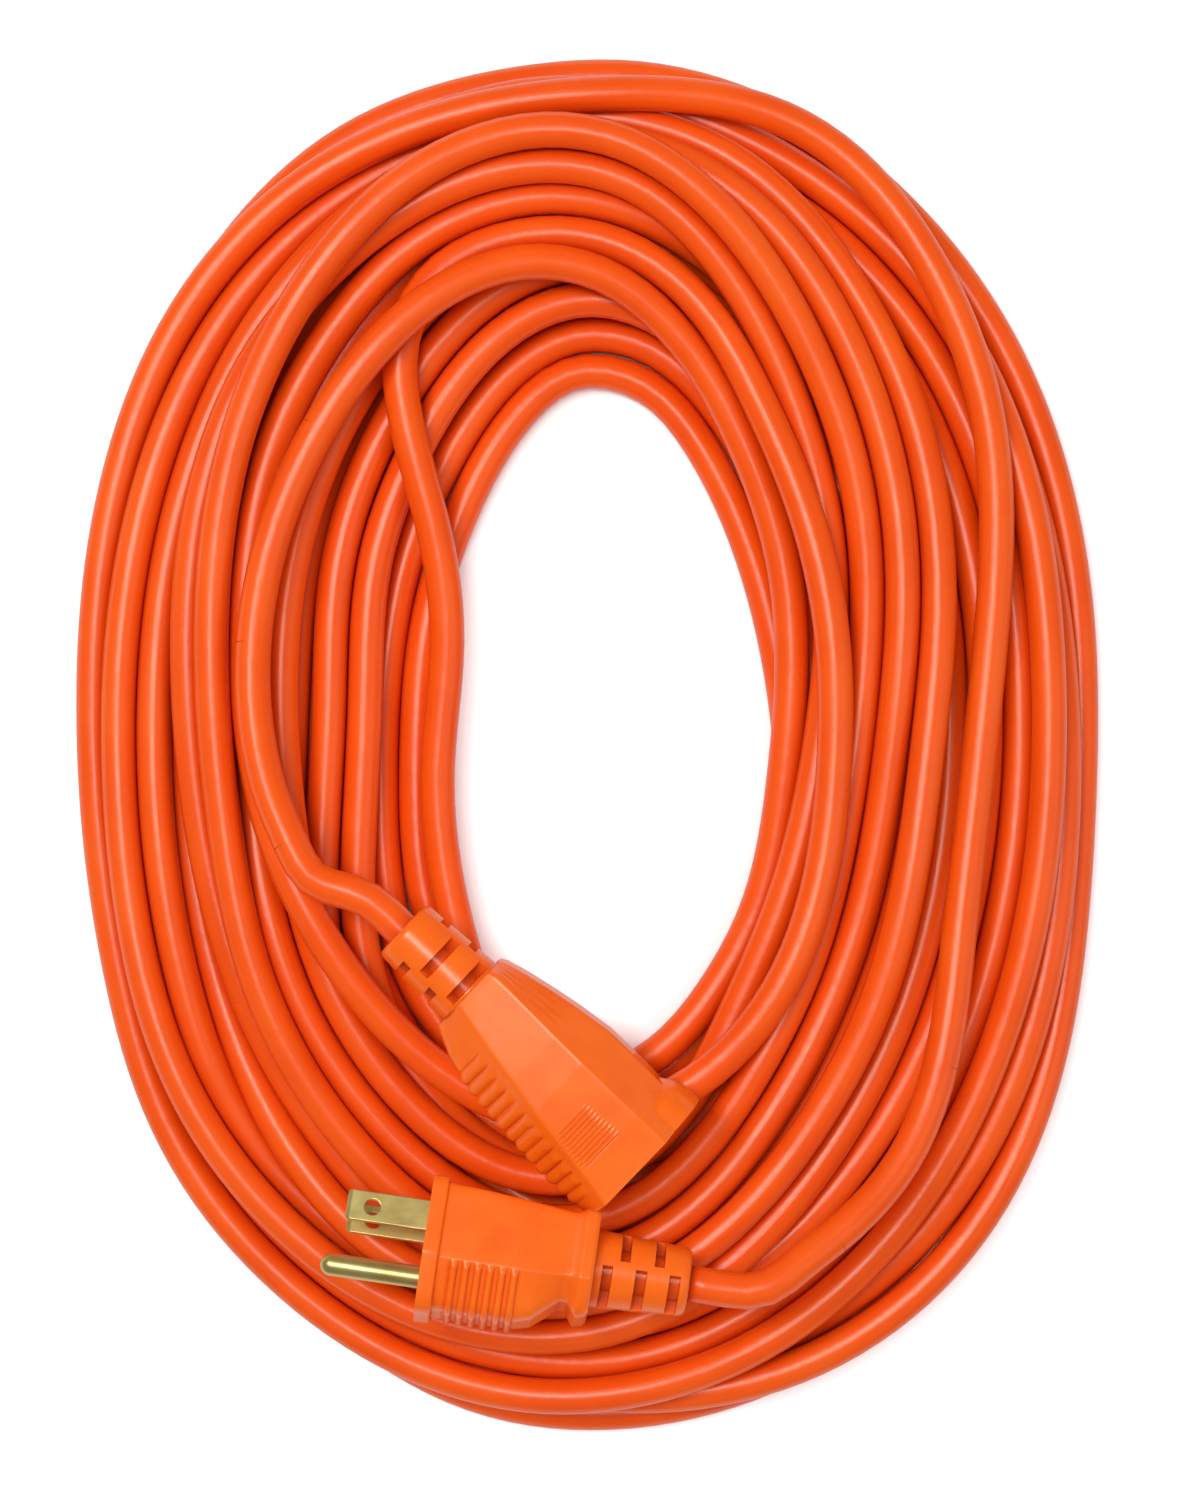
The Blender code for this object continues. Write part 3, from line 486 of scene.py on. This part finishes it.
def connector_detail(point, depth):
    """Height above the plain body: grip lobes, fine rib panel, long fine lines."""
    _, y, side, share = point
    height = 0.0
    reach = lobe_reach(side, share)
    if reach > 0 and 3.2 < depth < 41.5:
        lobe = abs(math.sin(math.pi * (depth - 3.6) / LOBE_PITCH))
        height += reach * ramp(depth, 3.2, 4.4) * ramp(-depth, -41.5, -40.3) * (0.95 * lobe**0.55 - 0.55)
    if side in (0, 4) and 8.2 < depth < 17.6:
        across = ramp(y, -8.0, -7.75) * ramp(-y, -1.75, -1.5)
        ends = ramp(depth, 8.2, 8.35) * ramp(-depth, -17.6, -17.45)
        wave = 0.5 + 0.5 * math.cos(2 * math.pi * (depth - 8.35 - FINE_PITCH / 2) / FINE_PITCH)
        height += across * ends * (0.34 * wave**0.7 - 0.12)
    if side in (1, 3) and 29.0 < depth < 49.0:
        along = share if side == 1 else 1 - share
        ends = ramp(depth, 29.0, 36.0) * ramp(-depth, -49.0, -48.0)
        height += ends * ramp(along, 0.04, 0.10) * ramp(-along, -0.72, -0.62) * 0.11 * math.sin(along * 62.0)
    return height


def ground_boss(xy, depth):
    """Pushes the outline out to the round boss over the ground opening, near the front."""
    radius = 9.5 - 4.2 * ramp(depth, 4.2, 13.0) - 0.5 * ramp(-depth, -0.9, 0.0)
    middle = np.array((0.0, 7.9))
    away = xy - middle
    distance = np.sqrt((away**2).sum(axis=1)) + 1e-9
    push = (distance < radius) & (xy[:, 1] > 8.0) & (depth < 13.4)
    scale = np.where(push, radius / distance, 1.0)
    return middle + away * scale[:, None]


def make_connector_body(axes):
    """One closed skin: pocket for the insert, front, gripped body and strain relief."""
    front = outline(connector_corners(CONNECTOR_KEYS[0][1]), CONNECTOR_STEPS)
    pocket = outline(CONNECTOR_POCKET, CONNECTOR_STEPS)
    rings = [(26.0, grown(pocket, 0.0)), (0.2, grown(pocket, 0.0)), (0.0, grown(pocket, 0.2))]
    for share in (0.0, 0.3, 0.6, 1.0):
        turn = share * math.pi / 2
        inset = 0.7 * (1 - math.cos(math.pi / 2 - turn))
        rings.append((0.7 * (1 - math.sin(turn)), ground_boss(grown(front, -inset), 0.7 * share)))
    stretches = ((0.9, 8.0, 0.22), (8.0, 17.8, 0.14), (17.8, 42.0, 0.25),
                 (42.0, 49.5, 0.3), (49.5, 51.0, 0.25))
    for depth in steps_through(*stretches):
        points = outline(connector_corners(between(CONNECTOR_KEYS, depth)), CONNECTOR_STEPS)
        ring = grown(points, [connector_detail(p, depth) for p in points])
        rings.append((depth, ground_boss(ring, depth)))
    foot = outline(connector_corners(CONNECTOR_KEYS[-1][1]), CONNECTOR_STEPS)
    rings.append((51.02, circle_like(foot, 8.7)))
    windows = [(1, 52.9, 2.2), (1, 60.6, 2.2), (0, 56.9, 2.0), (0, 64.6, 2.0)]
    rings += relief_rings(foot, 51.3, 70.5, 8.2, 7.3, windows, (0.0, 0.4), 28)
    body = skin("connector_moulding", rings, axes)
    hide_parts("connector_body")
    return body


# --- brass ------------------------------------------------------------------
def solid(name, mesh, axes, bevel=0.0, smooth_angle=35):
    """Object from a bmesh drawn in a fitting's own axes, with rounded edges."""
    data = bpy.data.meshes.new(name)
    mesh.to_mesh(data)
    mesh.free()
    obj = bpy.data.objects.new(name, data)
    bpy.context.scene.collection.objects.link(obj)
    data.transform(axes)
    data.transform(Matrix.Scale(MM, 4))
    if bevel:
        rounding = obj.modifiers.new("Rounding", "BEVEL")
        rounding.width = bevel * MM
        rounding.segments = 3
        rounding.limit_method = "ANGLE"
        rounding.angle_limit = math.radians(30)
        apply_modifiers(obj)
    for polygon in obj.data.polygons:
        polygon.use_smooth = True
    obj.data.set_sharp_from_angle(angle=math.radians(smooth_angle))
    return obj


def apply_modifiers(obj):
    graph = bpy.context.evaluated_depsgraph_get()
    data = bpy.data.meshes.new_from_object(obj.evaluated_get(graph))
    obj.modifiers.clear()
    obj.data = data


def blade_mesh(x):
    """Flat blade with a tapered tip and a round hole, drawn as an outline and thickened."""
    half_thick, corner = 0.75, 0.4
    root, shoulder, taper_from, tip = -13.0, 15.9, 16.6, 17.5
    hole_at, hole_radius, hole_sides = 12.0, 1.75, 28
    low, high = BLADE_LINE - BLADE_TALL / 2, BLADE_LINE + BLADE_TALL / 2
    plan = [(low, root), (low, shoulder), (low, tip - corner), (low + corner, tip),
            (high - corner, tip), (high, tip - corner), (high, shoulder), (high, root)]
    mesh = bmesh.new()
    edge = [mesh.verts.new((x, y, z)) for y, z in plan]
    hole = []
    for k in range(hole_sides):
        angle = 2 * math.pi * k / hole_sides
        across, along = hole_radius * math.cos(angle), hole_radius * math.sin(angle)
        hole.append(mesh.verts.new((x, BLADE_LINE + across, hole_at + along)))
    for loop in (edge, hole):
        for here, there in zip(loop, loop[1:] + loop[:1]):
            mesh.edges.new((here, there))
    bmesh.ops.triangle_fill(mesh, edges=mesh.edges[:], use_beauty=True)
    bmesh.ops.dissolve_limit(mesh, angle_limit=0.01, verts=mesh.verts[:], edges=mesh.edges[:])
    made = bmesh.ops.extrude_face_region(mesh, geom=mesh.faces[:])
    moved = [v for v in made["geom"] if isinstance(v, bmesh.types.BMVert)]
    bmesh.ops.translate(mesh, verts=moved, vec=(half_thick, 0, 0))
    for vert in mesh.verts:
        if vert not in moved:
            vert.co.x -= half_thick
    everything = mesh.verts[:] + mesh.edges[:] + mesh.faces[:]
    bmesh.ops.bisect_plane(mesh, geom=everything, plane_co=(0, 0, taper_from), plane_no=(0, 0, 1))
    for vert in mesh.verts:
        share = max(0.0, (vert.co.z - taper_from) / (tip - taper_from))
        vert.co.x = x + (vert.co.x - x) * (1 - 0.5 * share)
    bmesh.ops.recalc_face_normals(mesh, faces=mesh.faces)
    return mesh


def turned(profile, x, y, around=40):
    """Turned rod from (z, radius) pairs round a line along z."""
    mesh = bmesh.new()
    rings = []
    for z, radius in profile:
        turns = [2 * math.pi * k / around for k in range(around)]
        rings.append([mesh.verts.new((x + radius * math.cos(t), y + radius * math.sin(t), z)) for t in turns])
    for low, high in zip(rings, rings[1:]):
        for i in range(around):
            j = (i + 1) % around
            mesh.faces.new((low[i], low[j], high[j], high[i]))
    mesh.faces.new(rings[0][::-1])
    mesh.faces.new(rings[-1])
    bmesh.ops.recalc_face_normals(mesh, faces=mesh.faces)
    return mesh


def make_prongs(axes):
    """The two blades and the ground pin, which run from inside the plug to their tips."""
    prongs = []
    for name, side in (("hot", 1), ("neutral", -1)):
        mesh = blade_mesh(side * BLADE_APART / 2)
        blade = solid(f"{name}_blade_brass", mesh, axes, bevel=0.16, smooth_angle=1)
        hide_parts(f"plug_{name}_blade")
        prongs.append(blade)
    radius, root, tip, nose_steps = 2.375, -12.0, 21.4, 9
    profile = [(root, radius)]
    for k in range(nose_steps):
        turn = math.pi / 2 * k / nose_steps
        profile.append((tip - radius + radius * math.sin(turn), radius * math.cos(turn)))
    profile.append((tip, 0.12))
    pin = solid("ground_pin_brass", turned(profile, 0.0, GROUND_LINE), axes)
    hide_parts("plug_ground_pin")
    prongs.append(pin)
    return prongs


# --- cord -------------------------------------------------------------------
# The CAD cord's facets, and a length that is more than a facet's width and less than a gap between rings.
HANK_SIDES, HANK_RING_EDGE = 8, 10.0
TAIL_SIDES, TAIL_RING_EDGE = 12, 5.0
CLEAR_OF_PIVOT = 5.5  # rings nearer than this to a joint are left out of the centre line
TAIL_RINGS = 60  # rings of the finished cord at each end, among which the joints lie
HANK_RINGS = 6  # how many rings the first length reaches into the hank


def tail_path(prefix, hank_end, axes):
    """Centre line from just inside the hank's end to inside the fitting."""
    path = []
    for joint, part in (("lift", "outer"), ("swing", "inner")):
        pivot = joint_place(f"{prefix}_{joint}")
        rings = rings_of(f"{prefix}_tail_{part}_jacket", TAIL_SIDES, TAIL_RING_EDGE)
        start = hank_end if part == "outer" else pivot
        path.append(pivot)
        path += [ring for ring in nearest_first(rings, start) if (ring - pivot).length > CLEAR_OF_PIVOT]
    end = joint_place(f"{prefix}_tilt")
    out = axes.col[2].to_3d()
    return path + [end, end + out * 6.0, end + out * 12.0]


def make_cord(plug_axes, connector_axes):
    """The whole cord as one curve, cut into the hank and three lengths at each end, one round each joint."""
    hank = nearest_first(rings_of("cord_jacket", HANK_SIDES, HANK_RING_EDGE), joint_place("connector_lift"))
    first_tail = tail_path("connector", hank[0], connector_axes)
    last_tail = tail_path("plug", hank[-1], plug_axes)
    whole = first_tail[::-1] + hank + last_tail
    centres, along = spline(whole, CORD_SPACING)

    def nearest(place, low, high):
        gaps = ((centres[low:high] - np.array(place)) ** 2).sum(axis=1)
        return low + int(np.argmin(gaps))

    tails = []
    ends = {}
    for prefix, low, high in (("connector", 0, TAIL_RINGS), ("plug", len(centres) - TAIL_RINGS, None)):
        places = [joint_place(f"{prefix}_{motion}") for motion in ("lift", "swing", "tilt")]
        lift, swing, tilt = (nearest(place, low, high) for place in places)
        into = -1 if prefix == "connector" else 1
        tip = 0 if prefix == "connector" else len(centres) - 1
        cuts = [lift - into * HANK_RINGS, (lift + swing) // 2, (swing + tilt) // 2, tip]
        ends[prefix] = cuts[0]
        before = "hank"
        lengths = (("a", "tail_outer", lift), ("b", "tail_inner", swing), ("c", "end", tilt))
        for k, (letter, part, pivot) in enumerate(lengths):
            start, stop = sorted((cuts[k], cuts[k + 1]))
            run = slice(start, stop + 1)
            last = part == "end"
            piece = tube(f"{prefix}_cord_{letter}", centres[run], along[run], CORD_R,
                         cap_start=last and prefix == "connector", cap_end=last and prefix == "plug")
            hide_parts(f"{prefix}_{part}_jacket")
            body = f"{prefix}_{part}"
            tails.append((piece, before, body, centres[pivot], centres[cuts[k + 1]] - centres[cuts[k]]))
            before = body
    run = slice(ends["connector"], ends["plug"] + 1)
    hank_skin = tube("hank_cord", centres[run], along[run], CORD_R)
    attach(hank_skin, "hank")
    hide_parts("cord_jacket")
    return hank_skin, tails


# --- materials --------------------------------------------------------------
class Shader:
    """Small helper for building a node material."""

    def __init__(self, name):
        self.material = bpy.data.materials.new(name)
        self.material.use_nodes = True
        self.tree = self.material.node_tree
        self.base = self.tree.nodes["Principled BSDF"]

    def feed(self, socket, value):
        """Links an output to a socket, or sets the socket's own value."""
        if isinstance(value, bpy.types.NodeSocket):
            self.tree.links.new(value, socket)
        else:
            socket.default_value = value

    def node(self, kind, **inputs):
        node = self.tree.nodes.new(kind)
        for key, value in inputs.items():
            self.feed(node.inputs[key.replace("_", " ")], value)
        return node

    def link(self, output, name):
        self.tree.links.new(output, self.base.inputs[name])

    def set(self, **values):
        for key, value in values.items():
            self.base.inputs[key.replace("_", " ")].default_value = value

    def noise(self, vector, scale, detail=2.0, roughness=0.5):
        node = self.node("ShaderNodeTexNoise", Vector=vector, Scale=scale, Detail=detail, Roughness=roughness)
        return node.outputs["Fac"]

    def mapping(self, vector, scale):
        node = self.node("ShaderNodeMapping", Vector=vector)
        node.inputs["Scale"].default_value = scale
        return node.outputs["Vector"]

    def between(self, value, low, high):
        node = self.node("ShaderNodeMapRange", Value=value)
        node.inputs["To Min"].default_value = low
        node.inputs["To Max"].default_value = high
        return node.outputs["Result"]

    def math(self, operation, a, b=0.0):
        node = self.tree.nodes.new("ShaderNodeMath")
        node.operation = operation
        for socket, value in zip(node.inputs, (a, b)):
            self.feed(socket, value)
        return node.outputs[0]

    def colour(self, value, *stops):
        node = self.node("ShaderNodeValToRGB", Fac=value)
        ramp_stops = node.color_ramp.elements
        while len(ramp_stops) < len(stops):
            ramp_stops.new(0.5)
        for element, (place, rgb) in zip(ramp_stops, stops):
            element.position = place
            element.color = (*rgb, 1.0)
        return node.outputs["Color"]

    def bump(self, height, strength, distance, under=None):
        node = self.node("ShaderNodeBump", Height=height, Strength=strength, Distance=distance)
        if under is not None:
            self.tree.links.new(under, node.inputs["Normal"])
        return node.outputs["Normal"]

    def coordinates(self, kind="Object"):
        return self.tree.nodes.new("ShaderNodeTexCoord").outputs[kind]


def cord_vinyl():
    """Extruded glossy vinyl: long faint drawing lines, soft dents, small scuffs, and painted shade that darkens
    the colour in the gaps between turns.
    """
    s = Shader("cord_vinyl")
    uv = s.coordinates("UV")
    place = s.coordinates("Object")
    lines = s.noise(s.mapping(uv, (12.0, 26.0, 1.0)), 1.0, 3.0)
    patches = s.noise(place, 38.0, 3.0)
    dents = s.noise(place, 210.0, 2.0)
    fine = s.noise(place, 2600.0, 2.0)
    tone = s.math("ADD", s.math("MULTIPLY", patches, 0.65), s.math("MULTIPLY", lines, 0.35))
    low, mid, high = (0.84, 0.076, 0.003), (0.92, 0.098, 0.004), (0.95, 0.122, 0.007)
    lit = s.colour(tone, (0.30, low), (0.52, mid), (0.74, high))
    # painted shade: the colour darkens to a deep red where ambient occlusion finds the gaps between turns
    painted_shade_ao = s.node("ShaderNodeAmbientOcclusion", Distance=0.005)
    painted_shade_ao.samples = 4
    painted_shade_colour = (0.66, 0.040, 0.001, 1.0)
    mixed = s.node("ShaderNodeMixRGB", Fac=painted_shade_ao.outputs["AO"], Color1=painted_shade_colour, Color2=lit)
    s.link(mixed.outputs["Color"], "Base Color")
    scuffs = s.noise(s.mapping(uv, (60.0, 9.0, 1.0)), 1.0, 5.0, 0.7)
    worn = s.between(scuffs, 0.25, 0.45)
    s.link(s.math("ADD", s.math("MULTIPLY", worn, 0.80), s.math("MULTIPLY", patches, 0.08)), "Roughness")
    dented = s.bump(dents, 0.16, 0.0006)
    drawn = s.bump(lines, 0.10, 0.0004, dented)
    s.link(s.bump(fine, 0.05, 0.0001, drawn), "Normal")
    s.set(Subsurface_Weight=0.05, Subsurface_Scale=0.003, Specular_IOR_Level=0.5)
    s.base.inputs["Subsurface Radius"].default_value = (1.0, 0.25, 0.08)
    s.base.inputs["Specular Tint"].default_value = (1.0, 0.84, 0.68, 1.0)
    return s.material


def moulded_vinyl(name="moulded_vinyl", deeper=1.0):
    """Injection-moulded vinyl: lighter, with the fine spark-eroded grain of the mould, and painted shade that
    darkens the colour in its hollows and creases.
    """
    s = Shader(name)
    place = s.coordinates("Object")
    patches = s.noise(place, 55.0, 3.0)
    flow = s.noise(s.mapping(place, (1.0, 1.0, 2.5)), 160.0, 2.0)
    grain = s.noise(place, 2300.0, 3.0, 0.62)
    tone = s.math("ADD", s.math("MULTIPLY", patches, 0.6), s.math("MULTIPLY", flow, 0.4))
    low, mid, high = [(r * deeper, g * deeper, b * deeper) for r, g, b in
                      ((0.93, 0.122, 0.004), (0.97, 0.148, 0.006), (0.99, 0.172, 0.010))]
    # painted shade: the colour darkens to a deep red where ambient occlusion finds hollows, creases and the
    # relief's windows
    hollow_shade_ao = s.node("ShaderNodeAmbientOcclusion", Distance=0.004)
    hollow_shade_ao.samples = 6
    lit = s.colour(tone, (0.30, low), (0.52, mid), (0.75, high))
    painted_shade_ao = s.math("POWER", hollow_shade_ao.outputs["AO"], 0.7)
    painted_shade_colour = (0.62, 0.045, 0.001, 1.0)
    mixed = s.node("ShaderNodeMixRGB", Fac=painted_shade_ao, Color1=painted_shade_colour, Color2=lit)
    s.link(mixed.outputs["Color"], "Base Color")
    s.link(s.math("ADD", s.between(patches, 0.20, 0.30), s.math("MULTIPLY", grain, 0.08)), "Roughness")
    soft = s.bump(flow, 0.06, 0.0005)
    s.link(s.bump(grain, 0.22, 0.00008, soft), "Normal")
    s.set(Subsurface_Weight=0.06, Subsurface_Scale=0.003, Specular_IOR_Level=0.55)
    s.base.inputs["Subsurface Radius"].default_value = (1.0, 0.3, 0.1)
    s.base.inputs["Specular Tint"].default_value = (1.0, 0.88, 0.74, 1.0)
    return s.material


def brass():
    """Rolled brass: bright, with faint rolling lines and handling marks."""
    s = Shader("brass")
    place = s.coordinates("Object")
    rolled = s.noise(s.mapping(place, (60.0, 900.0, 900.0)), 1.0, 2.0)
    marks = s.noise(place, 420.0, 4.0, 0.65)
    tarnish = s.noise(place, 90.0, 3.0)
    low, mid, high = (0.50, 0.38, 0.11), (0.62, 0.49, 0.17), (0.74, 0.62, 0.26)
    s.link(s.colour(tarnish, (0.30, low), (0.55, mid), (0.80, high)), "Base Color")
    s.link(s.math("ADD", s.between(marks, 0.22, 0.38), s.math("MULTIPLY", rolled, 0.10)), "Roughness")
    first = s.bump(rolled, 0.08, 0.0001)
    s.link(s.bump(marks, 0.05, 0.0001, first), "Normal")
    s.set(Metallic=0.72)
    return s.material


def conductor(name, rgb, metallic):
    """Wire inside a fitting: insulation, or strands of bare copper."""
    s = Shader(name)
    place = s.coordinates("Object")
    streaks = s.noise(place, 700.0, 3.0)
    darker = tuple(c * 0.75 for c in rgb)
    s.link(s.colour(streaks, (0.3, darker), (0.7, rgb)), "Base Color")
    s.link(s.between(streaks, 0.28, 0.5), "Roughness")
    s.link(s.bump(streaks, 0.2, 0.0001), "Normal")
    s.set(Metallic=metallic)
    return s.material


FLOOR_PAINTED_GLOW = 0.60  # strength of the painted glow added to the paper, seen only by the camera


def floor_paper():
    """Plain pale backdrop paper with a painted glow seen only by the camera, which fades out as painted shade in
    the gaps between turns.
    """
    s = Shader("floor_paper")
    place = s.coordinates("Object")
    fibre = s.noise(place, 900.0, 3.0)
    s.link(s.colour(fibre, (0.3, (0.93, 0.93, 0.93)), (0.7, (0.96, 0.96, 0.96))), "Base Color")
    s.link(s.between(fibre, 0.75, 0.9), "Roughness")
    s.link(s.bump(fibre, 0.03, 0.0001), "Normal")
    seen = s.tree.nodes.new("ShaderNodeLightPath").outputs["Is Camera Ray"]
    # painted shade: ambient occlusion dims the painted glow near and between the turns
    clear = s.node("ShaderNodeAmbientOcclusion", Distance=0.014).outputs["AO"]
    lift = s.math("MULTIPLY", s.math("POWER", clear, 1.6), FLOOR_PAINTED_GLOW)
    s.link(s.math("MULTIPLY", seen, lift), "Emission Strength")
    s.set(Emission_Color=(1.0, 1.0, 1.0, 1.0))
    return s.material


# --- stage ------------------------------------------------------------------
CAMERA_HEIGHT, CAMERA_Y = 0.70, -0.0010
SENSOR_MM = 36.0
SEEN_LENGTH = 0.3386  # of the floor, from the bottom to the top of the picture
ROOM_LIGHT, ROOM_MIRRORED = 0.42, 0.03  # white room, and how much of it glossy surfaces show
KEY_POWER, FILL_POWER = 9.5, 1.6
KEY_PLACE, KEY_SIZE = (-0.27, 0.19, 1.15), (0.20, 0.75)
FILL_PLACE, FILL_SIZE = (0.95, -0.15, 0.85), (0.4, 1.2)
FLOOR_SIZE, FLOOR_DROP = 12.0, -0.0002


def make_camera():
    """Looks straight down on the hank."""
    camera = bpy.data.objects.new("camera", bpy.data.cameras.new("camera"))
    bpy.context.scene.collection.objects.link(camera)
    camera.location = (0.0, CAMERA_Y, CAMERA_HEIGHT)
    camera.data.sensor_fit = "VERTICAL"
    camera.data.sensor_height = SENSOR_MM
    camera.data.lens = SENSOR_MM * CAMERA_HEIGHT / SEEN_LENGTH
    camera.data.clip_start = 0.01
    bpy.context.scene.camera = camera


def area_light(name, place, size, power):
    """Soft light aimed at the middle of the hank."""
    light = bpy.data.objects.new(name, bpy.data.lights.new(name, "AREA"))
    bpy.context.scene.collection.objects.link(light)
    light.data.shape = "RECTANGLE"
    light.data.size, light.data.size_y = size
    light.data.energy = power
    light.location = place
    light.rotation_euler = (-Vector(place)).to_track_quat("-Z", "Y").to_euler()


def make_stage(paper):
    """Floor, white room and two soft lights."""
    reach = FLOOR_SIZE / 2
    corners = [(x * reach, y * reach, 0) for x, y in ((-1, -1), (1, -1), (1, 1), (-1, 1))]
    floor = object_from("floor", corners, [(0, 1, 2, 3)])
    floor.location.z = FLOOR_DROP
    floor.data.materials.append(paper)
    world = bpy.data.worlds.new("studio")
    bpy.context.scene.world = world
    world.use_nodes = True
    nodes, links = world.node_tree.nodes, world.node_tree.links
    background = nodes["Background"]
    background.inputs["Color"].default_value = (1.0, 1.0, 1.0, 1.0)
    rays = nodes.new("ShaderNodeLightPath")
    room = nodes.new("ShaderNodeMapRange")
    room.inputs["To Min"].default_value = ROOM_LIGHT
    room.inputs["To Max"].default_value = ROOM_MIRRORED
    links.new(rays.outputs["Is Glossy Ray"], room.inputs["Value"])
    links.new(room.outputs["Result"], background.inputs["Strength"])
    area_light("key", KEY_PLACE, KEY_SIZE, KEY_POWER)
    area_light("fill", FILL_PLACE, FILL_SIZE, FILL_POWER)
    bpy.context.scene.view_settings.view_transform = "Standard"


# --- assembly ---------------------------------------------------------------
def dress(obj, material):
    obj.data.materials.clear()
    obj.data.materials.append(material)


def dress_cad(materials):
    """Materials for the CAD nodes that stay: inserts, contacts and conductors."""
    for name, node in frame["nodes"].items():
        if "insulation" in name:
            key = "insulation_" + name.split("_")[1]
        elif "copper" in name:
            key = "copper"
        elif name.endswith(("contact", "blade", "pin")):
            key = "brass"
        elif "jacket" in name:
            key = "cord_vinyl"
        else:
            key = "insert_vinyl"
        node.data.materials.clear()
        node.data.materials.append(materials[key])


def main():
    materials = {
        "cord_vinyl": cord_vinyl(),
        "moulded_vinyl": moulded_vinyl(),
        "insert_vinyl": moulded_vinyl("insert_vinyl", 0.93),
        "brass": brass(),
        "copper": conductor("copper", (0.80, 0.40, 0.25), 1.0),
        "insulation_hot": conductor("insulation_hot", (0.03, 0.03, 0.03), 0.0),
        "insulation_neutral": conductor("insulation_neutral", (0.80, 0.80, 0.77), 0.0),
        "insulation_ground": conductor("insulation_ground", (0.05, 0.33, 0.12), 0.0),
    }
    dress_cad(materials)
    plug_axes = fitting_axes("plug", "plug_hot_blade", "plug_neutral_blade", "plug_body")
    connector_axes = fitting_axes(
        "connector", "connector_neutral_contact", "connector_hot_contact", "connector_body")
    mouldings = {"plug_end": make_plug_body(plug_axes), "connector_end": make_connector_body(connector_axes)}
    for body, moulding in mouldings.items():
        dress(moulding, materials["moulded_vinyl"])
        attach(moulding, body)
    for prong in make_prongs(plug_axes):
        dress(prong, materials["brass"])
        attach(prong, "plug_end")
    hank, tails = make_cord(plug_axes, connector_axes)
    dress(hank, materials["cord_vinyl"])
    for piece, body, beyond, pivot, reach in tails:
        dress(piece, materials["cord_vinyl"])
        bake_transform(piece)
    make_stage(floor_paper())
    make_camera()


main()
